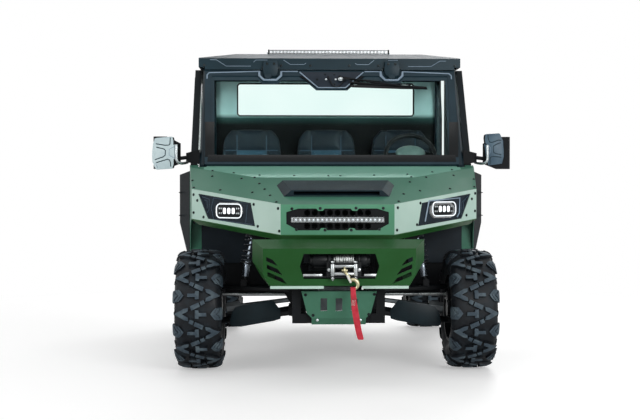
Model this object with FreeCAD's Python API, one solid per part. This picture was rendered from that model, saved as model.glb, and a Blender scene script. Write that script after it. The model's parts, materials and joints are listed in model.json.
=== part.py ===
"""Side by side utility vehicle with a closed three-seat cab, a dump bed and a plate-steel nose.

Units are millimetres. +Z is up, the front faces -Y and the driver's side is +X.
The origin is on the ground, in the middle of the vehicle's length and width.
"""

import math
import os

import FreeCAD
import Part

V = FreeCAD.Vector

# Wheels and axles
WHEELBASE = 2060.0
FRONT_REACH = 665.0  # front axle to the foremost roller
REAR_REACH = 465.0  # rear axle to the mouth of the hitch receiver
TYRE_RADIUS = 330.0
LUG_HEIGHT = 15.0
FRONT_TYRE_WIDTH = 254.0
REAR_TYRE_WIDTH = 279.0
RIM_RADIUS = 178.0
HALF_WIDTH_OVER_TYRES = 871.0
KINGPIN_X = 640.0
AXLE_HEIGHT = TYRE_RADIUS
FRONT_AXLE_Y = -(WHEELBASE + REAR_REACH - FRONT_REACH) / 2
FRONT_WHEEL_X = HALF_WIDTH_OVER_TYRES - FRONT_TYRE_WIDTH / 2
REAR_WHEEL_X = HALF_WIDTH_OVER_TYRES - REAR_TYRE_WIDTH / 2

# Sheet metal and general clearances
SHEET = 4.0
BUMPER_SHEET = 5.0
SEAT_GAP = 0.3  # between pieces that seat on each other
BEARING_GAP = 0.4  # round a pin or axle
SHIM = 0.2  # under a piece that rests on another
MOVING_GAP = 7.0  # between pieces that move past each other
FAR = 4500.0  # reach of a cutting block, well past the vehicle

# Nose: stations are measured rearwards from the front axle
NOSE_FRONT = -375.0
NOSE_HALF_FRONT = 300.0
NOSE_LOW = 753.0
NOSE_EDGE = 912.0
LAMP_PANEL_END_X = 795.0
LAMP_PANEL_END_ST = 36.0
LAMP_PANEL_END_LOW = 828.0
LAMP_PANEL_END_HIGH = 992.0
HOOD_REAR_ST = 30.0
HOOD_REAR_HALF = 440.0
HOOD_REAR_Z = 1058.0
COWL_SLOPE = 0.19
CAB_FRONT_ST = 425.0
CAB_HALF_WIDTH = 835.0

# Cab
CAB_REAR_ST = 1560.0
FIREWALL_ST = 500.0
REAR_BAY = 500.0  # cab's rear wall to the rear axle
LAYOUT_REAR_AXLE_ST = CAB_REAR_ST + REAR_BAY  # station of the rear axle on the layout
SILL_Z = 470.0
FLOOR_Z = 430.0
BELT_Z = 1100.0
GLASS_FOOT_ST = 380.0
GLASS_FOOT_Z = 1138.0
GLASS_HEAD_ST = 778.0
GLASS_HEAD_Z = 1722.0
ROOF_EDGE_Z = 1800.0
ROOF_CROWN_Z = 1836.0
ROOF_HALF_WIDTH = 806.0
CAGE_TUBE_R = 22.0
CAGE_SIDES = 8
CAGE_CROSS_R = 18.0
CAGE_X = ROOF_HALF_WIDTH - 48
CAGE_REAR_ST = 1518.0
DOOR_REAR_ST = 1500.0

# Cargo bed
BED_FRONT_ST = 1600.0
BED_REAR_ST = 2490.0
BED_HALF_WIDTH = 700.0
BED_FLOOR_Z = 842.0
BED_RIM_Z = 1120.0
BED_WALL = 22.0
BED_PIVOT_ST = 2330.0
BED_PIVOT_Z = 770.0
BED_PIN_R = 9.0

# Chassis
RAIL_X = 190.0
RAIL_SIZE = 50.0
RAIL_LOW_Z = 300.0
RAIL_TOP_Z = RAIL_LOW_Z + RAIL_SIZE
NOSE_POST_X = 215.0
NOSE_POST_ST = -500.0
FRAME_TAIL_ST = 2470.0
FRONT_SHOCK_ST = 0.0
REAR_SHOCK_ST = LAYOUT_REAR_AXLE_ST
SHOCK_TOP = (450.0, 770.0)  # x and height of the upper eye
SHOCK_FOOT = (505.0, 478.0)
SHOCK_PIN_R = 9.0
SHOCK_PIN_END = 10.0  # behind the axle, past the eye
SHOCK_EYE_R = 17.0
SHOCK_COILS = 4
SHOCK_COIL_R = 40.0
BED_HINGE_X = 330.0
BED_RUNNER_LOW = 796.0

# Lamps, grille, fenders, lips and scoop
LAMP_OPENING = [(0.926, 968), (0.322, 919), (0.275, 794), (0.812, 830)]
LAMP_LENS = (0.565, 878.0)  # centre of the lamp: share of the panel and height
LAMP_SIZE = (192.0, 84.0)
GRILLE_Z = (776.0, 891.0)
GRILLE_HALF = 270.0
GRILLE_SHOULDER = 208.0
GRILLE_WAIST = (810.0, 872.0)
GRILLE_TAB = 12.0
GRILLE_TAB_X = (90.0, 75.0)  # upper and lower bolt tabs
FENDER_WALL_ST = 410.0
WHEEL_ARCH = [(LAMP_PANEL_END_ST, 0.0), (LAMP_PANEL_END_ST, LAMP_PANEL_END_LOW),
              (250.0, 812.0), (340.0, 770.0), (392.0, 640.0), (404.0, 0.0)]
LIP_DEPTH = 38.0
LIP_DROP = 30.0
SCOOP_REAR = (-96.0, 322.0)  # station and half width of the scoop's raised rear edge
SCOOP_FRONT = (-262.0, 282.0)
SCOOP_MOUTH_HALF = 230.0
SCOOP_RISE = 40.0
SCOOP_MOUTH_RISE = 34.0
SCOOP_CHEEK = 1.15  # slope of the cheeks, inwards for each millimetre up
GRILLE_BACK = NOSE_FRONT + SHEET + SEAT_GAP
GRILLE_CELL = 40.0
GRILLE_ROWS = 3
GRILLE_HOLE_R = 18.0

# Bumper and skid plate
BUMPER_FRONT = -615.0
BUMPER_BACK = -470.0
BUMPER_TOP = 692.0
BUMPER_KNEE = 562.0
BUMPER_LOW = 503.0
BUMPER_HALF = 389.0
BUMPER_LOW_HALF = 356.0
BUMPER_WINDOW_HALF = 202.0
BUMPER_WINDOW_Z = (538.0, 665.0)
SKID_TOP = (-560.0, 470.0)
SKID_FOOT = (-528.0, 330.0)
SKID_SLOT_PITCH = 78.0
SKID_HALF = 193.0

# Winch, fairlead, hook and strap
WINCH_X = 22.0
WINCH_ST = -540.0
WINCH_Z = 628.0
WINCH_DECK_Z = 545.0
FAIRLEAD_HALF = 58.0
FAIRLEAD_Z = 584.0
ROLLER_R = 11.0
ROLLER_ST = -640.0
FAIRLEAD_BACK = -615.0
ROPE_END = (24.0, -612.0)
HOOK_R = 6.5
HOOK_ST = -FRONT_REACH + 10
HOOK_RING = (66.0, 512.0)  # x and height of the hook's bowl
STRAP_LAYER = 2.2
STRAP_LOOP = 26.0  # width where it runs through the hook
STRAP_WIDTH = 33.0
STRAP_POINTS = [(69.0, 440.0), (80.0, 360.0), (92.0, 290.0), (106.0, 232.0)]

# Cab tub and seats
CAB_SIDE_X = 790.0
REAR_WALL_ST = 1546.0
SEAT_BASE_Z = 760.0
SEAT_TOP_Z = 862.0
SEAT_X = 498.0
SEAT_HALF = 218.0

# Windshield and wiper
WIPER_SPINDLE = (60.0, 70.0)  # x and distance below the glass head
WIPER_CABLE_R = 3.5
CORD_SHARE = 0.45  # of the shorter run, taken by an arc at each end
CORD_SIDES = 6
GLASS_FOOT_HALF = ROOF_HALF_WIDTH - 60
GLASS_HEAD_HALF = ROOF_HALF_WIDTH - 38
SCREEN_FRAME_DEPTH = 22.0
SCREEN_FRAME_WIDTH = 42.0
SCREEN_HINGE_X = 380.0
SCREEN_HINGE_DROP = 54.0  # pivot disc below the head
SCREEN_HINGE_R = 22.0

# Roof and light bar
ROOF_FRONT_ST = 772.0
ROOF_WALL = 18.0
ROOF_REAR_ST = CAB_REAR_ST + SEAT_GAP + ROOF_WALL
ROOF_LOW_Z = 1742.0
LIGHT_BAR_HALF = 384.0
LIGHT_BAR_ST = 1000.0

# Steering wheel
STEERING_CENTRE = (500.0, 800.0, 1204.0)
STEERING_TILT = math.radians(35)
STEERING_RIM_R = 165.0
STEERING_HUB_DEPTH = 20.0

# Rear window
REAR_WINDOW_HALF = 596.0
REAR_WINDOW_Z = (1487.0, 1704.0)

# Doors
DOOR_INNER_X = CAB_SIDE_X + MOVING_GAP
DOOR_BULGE_X = 905.0
DOOR_FRAME_X = 835.0
DOOR_LOW_Z = 478.0
DOOR_TOP_Z = ROOF_LOW_Z - MOVING_GAP
DOOR_EDGE_ST = 456.0
DOOR_HINGE = (822.0, 441.0)  # x and station of the hinge pin
DOOR_KNUCKLES = ((620.0, 683.0), (960.0, 945.0))  # foot of each door knuckle and of its bracket's leaf
HINGE_PIN_R = 5.0
DOOR_FRAME_WIDTH = 44.0

# Bed fittings and hitch
BED_FLOOR_END_ST = 2458.0
FENDER_X = 846.0
TAILGATE_HALF = BED_HALF_WIDTH - BED_WALL - MOVING_GAP
TAILGATE_AXIS = (2496.0, BED_FLOOR_Z + 6)
TAILGATE_HINGES = (-520.0, 520.0)
HITCH_Z = 430.0
HITCH_BORE = 51.0

# Arms, hubs and steering links
ARM_PIVOT_X = 219.0
ARM_SPREAD = 120.0
LOWER_ARM_Z = (322.0, 262.0)  # at the frame and at the wheel
UPPER_ARM_Z = (440.0, 452.0)
BOSS_LOW = 14.0  # ball boss below and above the arm's end
BOSS_HIGH = 18.0
KINGPIN_R = 7.0
STUB_R = 22.0
STUB_END_X = 738.0
HUB_BORE = STUB_R + BEARING_GAP
STEERING_ARM = 105.0
STEERING_ARM_Z = 384.0
TIE_ROD_Z = STEERING_ARM_Z + 16
TIE_ROD_R = 9.0

# Wheel and tyre details
RIM_WALL = 7.0
BEAD_INSET = 19.0  # rim flange inwards from the tyre's side
WHEEL_WINDOWS = 5
DISC_X_OFFSET = 42.0  # disc face outwards from the wheel's centre plane
PITCHES = 14  # facets and lug rows round a tyre


def at(station):
    """Y of a layout station: the nose keeps its place, the cab takes up the wheelbase and the rear follows."""
    past = station - FIREWALL_ST
    if past > CAB_REAR_ST - FIREWALL_ST:
        past += WHEELBASE - LAYOUT_REAR_AXLE_ST
    elif past > 0:
        past *= (WHEELBASE - REAR_BAY - FIREWALL_ST) / (CAB_REAR_ST - FIREWALL_ST)
    return FRONT_AXLE_Y + FIREWALL_ST + past


def box(x0, x1, y0, y1, z0, z1):
    """Block between two corners."""
    return Part.makeBox(x1 - x0, y1 - y0, z1 - z0, V(x0, y0, z0))


def rod(start, end, radius):
    """Round bar from one point to another."""
    start, end = V(*start), V(*end)
    return Part.makeCylinder(radius, (end - start).Length, start, end - start)


def faceted(start, end, radius, sides=12):
    """Many-sided bar from one point to another, lighter than a round one."""
    start, end = V(*start), V(*end)
    along = (end - start).normalize()
    across = along.cross(V(0, 0, 1) if abs(along.z) < 0.9 else V(0, 1, 0)).normalize()
    upward = along.cross(across)
    corners = []
    for n in range(sides):
        turn = 2 * math.pi * (n + 0.5) / sides
        corners.append(start + across * (radius * math.cos(turn)) + upward * (radius * math.sin(turn)))
    return Part.Face(Part.makePolygon(corners + corners[:1])).extrude(end - start)


def tube_run(points, radius, sides=8):
    """Bent bar with mitred corners along a polyline, round or many-sided."""
    points = [V(*p) for p in points]
    path = Part.makePolygon(points)
    along = points[1] - points[0]
    ring = Part.Wire([Part.makeCircle(radius, points[0], along)])
    if sides:
        ring = faceted(points[0], points[1], radius, sides).Faces
        ring = min(ring, key=lambda face: (face.CenterOfMass - points[0]).Length).OuterWire
    pipe = Part.BRepOffsetAPI.MakePipeShell(path)
    pipe.setTransitionMode(1)
    pipe.add(ring)
    pipe.build()
    pipe.makeSolid()
    return pipe.shape()


def prism(points, push):
    """Flat polygon through the points, pushed along a vector."""
    corners = [V(*p) for p in points]
    return Part.Face(Part.makePolygon(corners + corners[:1])).extrude(V(*push))


def side_profile(points, x0, x1):
    """Outline of stations and heights, pushed from x0 to x1."""
    return prism([(x0, at(s), z) for s, z in points], (x1 - x0, 0, 0))


def plan_profile(points, z0, z1):
    """Outline of x and station, pushed from z0 up to z1."""
    return prism([(x, at(s), z0) for x, s in points], (0, 0, z1 - z0))


def front_profile(points, st0, st1):
    """Outline of x and height, pushed from one station to another."""
    return prism([(x, at(st0), z) for x, z in points], (0, st1 - st0, 0))


def mirrored(shape):
    """The same shape on the other side of the vehicle."""
    return shape.mirror(V(0, 0, 0), V(1, 0, 0))


def both(shape):
    """A shape and its mirror image, side by side."""
    return [shape, mirrored(shape)]


def fuse(shapes):
    """One solid from pieces that touch or overlap."""
    first, rest = shapes[0], shapes[1:]
    return first.multiFuse(rest).removeSplitter() if rest else first


def cut_all(shape, tools):
    """A shape less every tool."""
    return shape.cut(Part.makeCompound(tools)) if tools else shape


def solids_of(shapes):
    """The solids of some shapes as one compound."""
    found = []
    for shape in shapes:
        found.extend(shape.Solids)
    return Part.makeCompound(found)


def keep_inside(shape, point, outward):
    """Cuts away all that lies outward of the plane through a point."""
    return shape.cut(Part.makeCylinder(FAR, 2 * FAR, V(*point), V(*outward)))


def plane_through(a, b, c):
    """Upward unit normal of the plane through three points."""
    normal = (V(*b) - V(*a)).cross(V(*c) - V(*a)).normalize()
    return normal if normal.z > 0 else normal * -1


def bounded(shape, planes, inset=0.0):
    """A shape kept inside planes given as (point, outward normal), each moved inwards by inset."""
    for point, outward in planes:
        normal = V(*outward).normalize()
        shape = keep_inside(shape, V(*point) - normal * inset, normal)
    return shape


def nose_planes():
    """Outer faces of the nose: front, lamp panels, flanks, hood, fender tops, cowl and cab side."""
    corner = (NOSE_HALF_FRONT, at(NOSE_FRONT), NOSE_EDGE)
    lamp_end = (LAMP_PANEL_END_X, at(LAMP_PANEL_END_ST), LAMP_PANEL_END_HIGH)
    hood_rear = (HOOD_REAR_HALF, at(HOOD_REAR_ST), HOOD_REAR_Z)
    along = V(*lamp_end) - V(*corner)
    lamp_out = V(along.y, -along.x, 0)
    flank_run = (CAB_HALF_WIDTH - LAMP_PANEL_END_X, CAB_FRONT_ST - LAMP_PANEL_END_ST)
    flank_out = V(flank_run[1], -flank_run[0], 0)
    hood_rise = (HOOD_REAR_Z - NOSE_EDGE) / (HOOD_REAR_ST - NOSE_FRONT)
    fender_up = plane_through(corner, lamp_end, hood_rear)
    planes = [
        (corner, (0, -1, 0)),
        (corner, (0, -hood_rise, 1)),
        (hood_rear, (0, -COWL_SLOPE, 1)),
    ]
    for side in (1, -1):
        for point, out in ((corner, lamp_out), (lamp_end, flank_out), (corner, fender_up)):
            planes.append(((side * point[0], point[1], point[2]), (side * out.x, out.y, out.z)))
    return planes


def nose_block(inset=0.0):
    """Everything inside the nose's outer faces, moved inwards by inset."""
    block = box(-FAR / 4, FAR / 4, at(NOSE_FRONT - 200), at(CAB_FRONT_ST), SILL_Z, BELT_Z + 200)
    return bounded(block, nose_planes(), inset)


def lamp_point(share, z, depth=0.0):
    """A point on the driver's side lamp panel: share of the way outwards, height, depth behind the face."""
    start = V(NOSE_HALF_FRONT, at(NOSE_FRONT), z)
    run = V(LAMP_PANEL_END_X - NOSE_HALF_FRONT, LAMP_PANEL_END_ST - NOSE_FRONT, 0)
    inward = V(-run.y, run.x, 0).normalize()
    return start + run * share + inward * depth


def lamp_prism(outline, front_depth, back_depth):
    """Outline of (share, z) on the lamp panel, pushed between two depths behind its face."""
    inward = lamp_point(0, 0, 1) - lamp_point(0, 0)
    corners = [tuple(lamp_point(s, z, front_depth)) for s, z in outline]
    return prism(corners, tuple(inward * (back_depth - front_depth)))


def lamp_oval(width, height, front_depth, back_depth):
    """Rounded lamp body on the lamp panel, with chamfered corners."""
    run = V(LAMP_PANEL_END_X - NOSE_HALF_FRONT, LAMP_PANEL_END_ST - NOSE_FRONT, 0).Length
    share, height_mid = LAMP_LENS
    half_s, half_z = width / 2 / run, height / 2
    nip_s, nip_z = 0.16 * width / run, 0.3 * height
    outline = []
    for sx, sz in ((1, 1), (-1, 1), (-1, -1), (1, -1)):
        pair = [
            (share + sx * half_s, height_mid + sz * (half_z - nip_z)),
            (share + sx * (half_s - nip_s), height_mid + sz * half_z),
        ]
        outline.extend(pair if sx * sz > 0 else pair[::-1])
    return lamp_prism(outline, front_depth, back_depth)


def grille_outline(grow=0.0):
    """Eight-sided grille opening in x and z."""
    low, high = GRILLE_Z[0] - grow, GRILLE_Z[1] + grow
    half, shoulder = GRILLE_HALF + grow, GRILLE_SHOULDER
    return [
        (-half, GRILLE_WAIST[0]), (-shoulder, low), (shoulder, low), (half, GRILLE_WAIST[0]),
        (half, GRILLE_WAIST[1]), (shoulder, high), (-shoulder, high), (-half, GRILLE_WAIST[1]),
    ]


def grille_tabs():
    """Four bolt tabs that reach into the grille opening."""
    tabs = []
    for x_mid, z_edge, sign in (
        (GRILLE_TAB_X[0], GRILLE_Z[1], -1),
        (GRILLE_TAB_X[1], GRILLE_Z[0], 1),
    ):
        for side in (1, -1):
            x = side * x_mid
            outline = [
                (x - 1.8 * GRILLE_TAB, z_edge), (x + 1.8 * GRILLE_TAB, z_edge),
                (x + GRILLE_TAB, z_edge + sign * GRILLE_TAB), (x - GRILLE_TAB, z_edge + sign * GRILLE_TAB),
            ]
            tabs.append(front_profile(outline, NOSE_FRONT, NOSE_FRONT + SHEET))
    return tabs


def nose_lower_cut():
    """Wedge below the nose's rising lower edge."""
    rise = (LAMP_PANEL_END_LOW - NOSE_LOW) / (LAMP_PANEL_END_ST - NOSE_FRONT)
    rear_z = NOSE_LOW + rise * (LAMP_PANEL_END_ST - NOSE_FRONT)
    outline = [(NOSE_FRONT - 300, NOSE_LOW), (NOSE_FRONT, NOSE_LOW), (LAMP_PANEL_END_ST, rear_z),
               (LAMP_PANEL_END_ST, 0), (NOSE_FRONT - 300, 0)]
    return side_profile(outline, -FAR / 2, FAR / 2)


def nose_skin():
    """The nose's sheet metal in one piece, open below and behind, before it is split into panels."""
    skin = nose_block().cut(nose_block(SHEET))
    below = side_profile(WHEEL_ARCH, -FAR / 2, FAR / 2)
    inner = box(-CAB_HALF_WIDTH + 90, CAB_HALF_WIDTH - 90, at(0), at(CAB_FRONT_ST), 0, LAMP_PANEL_END_LOW)
    notches = both(box(CAGE_X - CAGE_TUBE_R - 3, CAGE_X + CAGE_TUBE_R + 3, at(CAB_FRONT_ST - 60),
                       at(CAB_FRONT_ST), 1000, FAR / 3))
    return cut_all(skin, [nose_lower_cut(), below, inner] + notches)


def hood_plan(grow=0.0):
    """Plan outline of the middle hood panel."""
    return [
        (-NOSE_HALF_FRONT - grow, NOSE_FRONT + SHEET), (NOSE_HALF_FRONT + grow, NOSE_FRONT + SHEET),
        (HOOD_REAR_HALF + grow, HOOD_REAR_ST), (-HOOD_REAR_HALF - grow, HOOD_REAR_ST),
    ]


def cowl_plan():
    """Plan outline of the cowl strip between the hood and the windshield."""
    return [
        (-HOOD_REAR_HALF, HOOD_REAR_ST), (HOOD_REAR_HALF, HOOD_REAR_ST), (745, 286),
        (745, CAB_FRONT_ST), (-745, CAB_FRONT_ST), (-745, 286),
    ]


def nose_panels():
    """Front panel, lamp panels, hood, cowl strip and fenders, cut from the one skin."""
    skin = nose_skin()
    behind_front = box(-FAR / 2, FAR / 2, at(NOSE_FRONT + SHEET), at(FAR / 3), 0, FAR / 2)
    front = skin.cut(behind_front).common(
        box(-NOSE_HALF_FRONT, NOSE_HALF_FRONT, at(NOSE_FRONT), at(NOSE_FRONT + SHEET), 0, FAR / 3))
    front = fuse([front.cut(front_profile(grille_outline(), NOSE_FRONT - 9, NOSE_FRONT + 9))] + grille_tabs())
    wide = [(0.0, 0), (0.0, FAR / 3), (1.0, FAR / 3), (1.0, 0)]
    lamp_slab = lamp_prism(wide, -1, SHEET)
    lamp_panel = skin.common(lamp_slab).cut(front)
    lamp_panel = lamp_panel.cut(lamp_prism(LAMP_OPENING, -9, SHEET + 9))
    lamp_panels = both(lamp_panel)
    rest = cut_all(skin, [front] + both(lamp_slab) + [
        box(-NOSE_HALF_FRONT, NOSE_HALF_FRONT, at(NOSE_FRONT), at(NOSE_FRONT + SHEET), 0, FAR / 3)])
    hood_column = plan_profile(hood_plan(), 0, FAR / 3)
    cowl_column = plan_profile(cowl_plan(), BELT_Z - 300, FAR / 3)
    hood = rest.common(hood_column)
    cowl = rest.common(cowl_column)
    wheel_wall = box(745, CAB_HALF_WIDTH, at(FENDER_WALL_ST), at(FENDER_WALL_ST + SHEET), SILL_Z, 1030)
    wheel_walls = [wall.common(nose_block()) for wall in both(wheel_wall)]
    fenders = [fuse([solid, wall]) for solid in cut_all(rest, [hood_column, cowl_column]).Solids
               for wall in wheel_walls if solid.BoundBox.Center.x * wall.BoundBox.Center.x > 0]
    return front, lamp_panels, hood, cowl, fenders


def nose_lips():
    """Flanges that turn down and back under the nose's lower edge, mitred where they meet."""
    outer = [(-LAMP_PANEL_END_X, LAMP_PANEL_END_ST, LAMP_PANEL_END_LOW),
             (-NOSE_HALF_FRONT, NOSE_FRONT, NOSE_LOW),
             (NOSE_HALF_FRONT, NOSE_FRONT, NOSE_LOW),
             (LAMP_PANEL_END_X, LAMP_PANEL_END_ST, LAMP_PANEL_END_LOW)]
    inner = [(x * 0.955, st + LIP_DEPTH, z - LIP_DROP) for x, st, z in outer]
    lips = []
    for a, b, c, d in zip(outer[:-1], outer[1:], inner[1:], inner[:-1]):
        for corners in ((a, b, c), (a, c, d)):
            lips.append(prism([(x, at(st), z) for x, st, z in corners], (0, 0, -SHEET)))
    return fuse(lips)


def hood_z(station):
    """Height of the middle hood panel at a station."""
    return NOSE_EDGE + (HOOD_REAR_Z - NOSE_EDGE) * (station - NOSE_FRONT) / (HOOD_REAR_ST - NOSE_FRONT)


def flat_sided(front, rear):
    """Solid between two matching polygons, with a flat face for each pair of edges."""
    rings = [[V(*p) for p in corners] for corners in (front, rear)]
    faces = [Part.Face(Part.makePolygon(ring + ring[:1])) for ring in rings]
    for n in range(len(front)):
        m = (n + 1) % len(front)
        quad = [rings[0][n], rings[0][m], rings[1][m], rings[1][n]]
        faces.append(Part.Face(Part.makePolygon(quad + quad[:1])))
    return Part.Solid(Part.Shell(faces))


def hood_scoop():
    """Wedge-shaped hood scoop with chamfered cheeks and an open mouth at its front."""
    rear_st, rear_half = SCOOP_REAR
    front_st, front_half = SCOOP_FRONT

    def ring(st, half, rise, lift):
        base = hood_z(st) + SHIM + lift
        inset = SCOOP_CHEEK * rise
        return [(-half, at(st), base), (half, at(st), base), (half - inset, at(st), base + rise),
                (-half + inset, at(st), base + rise)]

    def wedge(wall, lift):
        return flat_sided(ring(front_st, front_half - wall, SCOOP_MOUTH_RISE - wall, lift),
                          ring(rear_st - wall, rear_half - wall, SCOOP_RISE - wall - 12, lift))

    shell = wedge(0, 0)
    mouth = box(-SCOOP_MOUTH_HALF, SCOOP_MOUTH_HALF, at(front_st) - 1, at(front_st) + 14,
                hood_z(front_st) + 4, hood_z(front_st) + SCOOP_MOUTH_RISE - 6)
    hollow = wedge(6, 3).cut(box(-FAR, FAR, at(front_st) - 50, at(front_st) + 10, 0, FAR))
    return shell.cut(fuse([hollow, mouth]))


def bumper_planes():
    """Folded faces of the bumper."""
    front = (BUMPER_HALF, at(BUMPER_FRONT), BUMPER_TOP)
    knee = (BUMPER_HALF, at(BUMPER_FRONT), BUMPER_KNEE)
    low = (BUMPER_LOW_HALF, at(BUMPER_FRONT), BUMPER_LOW)
    knee_rear = (432, at(-500), 606)
    chin = (V(*knee) - V(*low)).cross(V(*knee_rear) - V(*low))
    chin = chin if chin.x > 0 else chin * -1
    planes = [(front, (0, -1, 0)), (front, (0, -0.28, 1)), (low, (0, 0.3, -1))]
    for side in (1, -1):
        planes.append(((side * front[0], front[1], front[2]), (side * 135, -53, 0)))
        planes.append(((side * low[0], low[1], low[2]), (side * chin.x, chin.y, chin.z)))
    return planes


def bumper_slots():
    """Three slanted slots on each side of the bumper's face, longer towards the bottom."""
    slots = []
    for row, (z, length) in enumerate(((650, 58), (612, 80), (574, 100))):
        x_out = 372 - 3 * row
        outline = [(x_out, z), (x_out, z - 22), (x_out - length, z - 22 - 0.42 * length),
                   (x_out - length + 26, z - 0.42 * length + 10)]
        slots.extend(both(front_profile(outline, BUMPER_FRONT - 9, BUMPER_FRONT + 9)))
    return slots


def front_bumper():
    """Folded plate bumper with a window for the winch, slots and two arms back to the chassis."""
    block = box(-600, 600, at(BUMPER_FRONT), at(BUMPER_BACK), 400, 800)
    skin = bounded(block, bumper_planes()).cut(bounded(block, bumper_planes(), BUMPER_SHEET))
    low, high = BUMPER_WINDOW_Z
    middle, half = (low + high) / 2, BUMPER_WINDOW_HALF
    window = [(-half, middle), (-half + 20, low), (half - 20, low), (half, middle), (half - 20, high),
              (-half + 20, high)]
    belly = box(-330, 330, at(BUMPER_FRONT + 45), at(BUMPER_BACK + 50), 400, 560)
    skin = cut_all(skin, [front_profile(window, BUMPER_FRONT - 9, BUMPER_FRONT + 9), belly] + bumper_slots())
    arm_x = NOSE_POST_X + RAIL_SIZE / 2 + SEAT_GAP
    arm = box(arm_x, arm_x + 8, at(BUMPER_FRONT + BUMPER_SHEET), at(NOSE_POST_ST + RAIL_SIZE), 540, 640)
    return fuse([skin] + both(arm))


def on_skid(x, z, out=0.0):
    """A point on the leaning skid plate's face, or out in front of it."""
    share = (SKID_TOP[1] - z) / (SKID_TOP[1] - SKID_FOOT[1])
    return (x, at(SKID_TOP[0] + share * (SKID_FOOT[0] - SKID_TOP[0]) - out), z)


def front_skid_plate():
    """Leaning front skid plate with three slots, its side cheeks and a lip under the rails."""
    face = [(-193, 470), (193, 470), (165, 356), (140, 330), (-140, 330), (-165, 356)]
    plate = prism([on_skid(x, z) for x, z in face], (0, SHEET, 0))
    slots = []
    for column in (-1, 0, 1):
        x = column * SKID_SLOT_PITCH
        corners = [on_skid(x + dx, z, 9) for dx, z in ((-17, 434), (17, 434), (17, 368), (-17, 368))]
        slots.append(prism(corners, (0, 24, 0)))
    shelf = box(-SKID_HALF, SKID_HALF, at(SKID_TOP[0]), at(NOSE_POST_ST) - SEAT_GAP, 466, 470)
    cheek = side_profile([(-557, 468), (NOSE_POST_ST - SEAT_GAP, 468), (NOSE_POST_ST - SEAT_GAP, 360),
                          (-534, 360)],
                         161, 165)
    toe = side_profile([(-528, 330), (-524, 330), (-496, 298), (-500, 294)], -140, 140)
    pan = box(-140, 140, at(-500), at(-380), RAIL_LOW_Z - SEAT_GAP - SHEET, RAIL_LOW_Z - SEAT_GAP)
    return fuse([cut_all(plate, slots), shelf, toe, pan] + both(cheek))


def winch():
    """Electric winch lying across its deck: motor, drum with wound rope and gearbox."""
    mid = at(WINCH_ST)

    def barrel(x0, x1, radius):
        return faceted((x0, mid, WINCH_Z), (x1, mid, WINCH_Z), radius, 10)

    motor = [barrel(-138, -60, 33), barrel(-150, -138, 26), barrel(-102, -96, 36), barrel(-60, -42, 40)]
    drum = [barrel(-42, -34, 40), barrel(-34, 84, 30), barrel(84, 92, 40)]
    gears = [barrel(92, 118, 38), barrel(118, 148, 33), barrel(148, 156, 22)]
    feet = [box(x - 9, x + 9, mid - 30, mid + 30, WINCH_DECK_Z + 6, WINCH_Z - 20) for x in (-51, 104)]
    deck = box(-182, 182, at(FAIRLEAD_BACK) + SEAT_GAP, at(NOSE_POST_ST + 20), WINCH_DECK_Z, WINCH_DECK_Z + 6)
    flange = box(WINCH_X - 84, WINCH_X + 84, at(FAIRLEAD_BACK) + SEAT_GAP, at(FAIRLEAD_BACK) + 6,
                 WINCH_DECK_Z, FAIRLEAD_Z + 30)
    window = box(WINCH_X - 40, WINCH_X + 40, at(FAIRLEAD_BACK) - 2, at(FAIRLEAD_BACK) + 9,
                 FAIRLEAD_Z - 16, FAIRLEAD_Z + 16)
    rope = faceted((ROPE_END[0], mid - 14, WINCH_Z - 20), (ROPE_END[0], at(ROPE_END[1]) + 2, FAIRLEAD_Z), 4, 8)
    return fuse(motor + drum + gears + feet + [deck, flange.cut(window), rope])


def fairlead():
    """Roller fairlead: a flanged frame with two upright and two level rollers."""
    back = at(FAIRLEAD_BACK)
    front = at(ROLLER_ST)
    frame = box(WINCH_X - 88, WINCH_X + 88, back - 6, back, FAIRLEAD_Z - 38, FAIRLEAD_Z + 38)
    slot = box(WINCH_X - 44, WINCH_X + 44, back - 8, back + 2, FAIRLEAD_Z - 16, FAIRLEAD_Z + 16)
    ears = [box(WINCH_X - 72, WINCH_X + 72, front - 8, back - 6, z, z + 5)
            for z in (FAIRLEAD_Z - 38, FAIRLEAD_Z + 33)]
    rollers = []
    for side in (-1, 1):
        x = WINCH_X + side * FAIRLEAD_HALF
        rollers.append(faceted((x, front, FAIRLEAD_Z - 47), (x, front, FAIRLEAD_Z + 44), 6, 6))
        rollers.append(faceted((x, front, FAIRLEAD_Z - 33), (x, front, FAIRLEAD_Z + 33), ROLLER_R))
    for rise in (-20, 20):
        rollers.append(faceted((WINCH_X - 52, front + 4, FAIRLEAD_Z + rise),
                           (WINCH_X + 52, front + 4, FAIRLEAD_Z + rise), ROLLER_R - 1))
    bolts = [faceted((WINCH_X + s * 76.2, back - 12, FAIRLEAD_Z), (WINCH_X + s * 76.2, back - 5, FAIRLEAD_Z),
                     9, 6)
             for s in (-1, 1)]
    return fuse([frame.cut(slot)] + ears + rollers + bolts)


def tow_hook():
    """Forged hook: a shank out of the fairlead and a round bowl with its keeper."""
    x, z = HOOK_RING
    path = [(ROPE_END[0], at(ROPE_END[1]) - SEAT_GAP, FAIRLEAD_Z), (ROPE_END[0], at(HOOK_ST), FAIRLEAD_Z),
            (x - 12, at(HOOK_ST), z + 22)]
    shank = tube_run(path, HOOK_R, 8)
    disc, hole = [faceted((x, at(HOOK_ST) - 6, z), (x, at(HOOK_ST) + 6, z), radius, 12)
                  for radius in (31, 19)]
    return fuse([shank, disc.cut(hole)])


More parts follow.
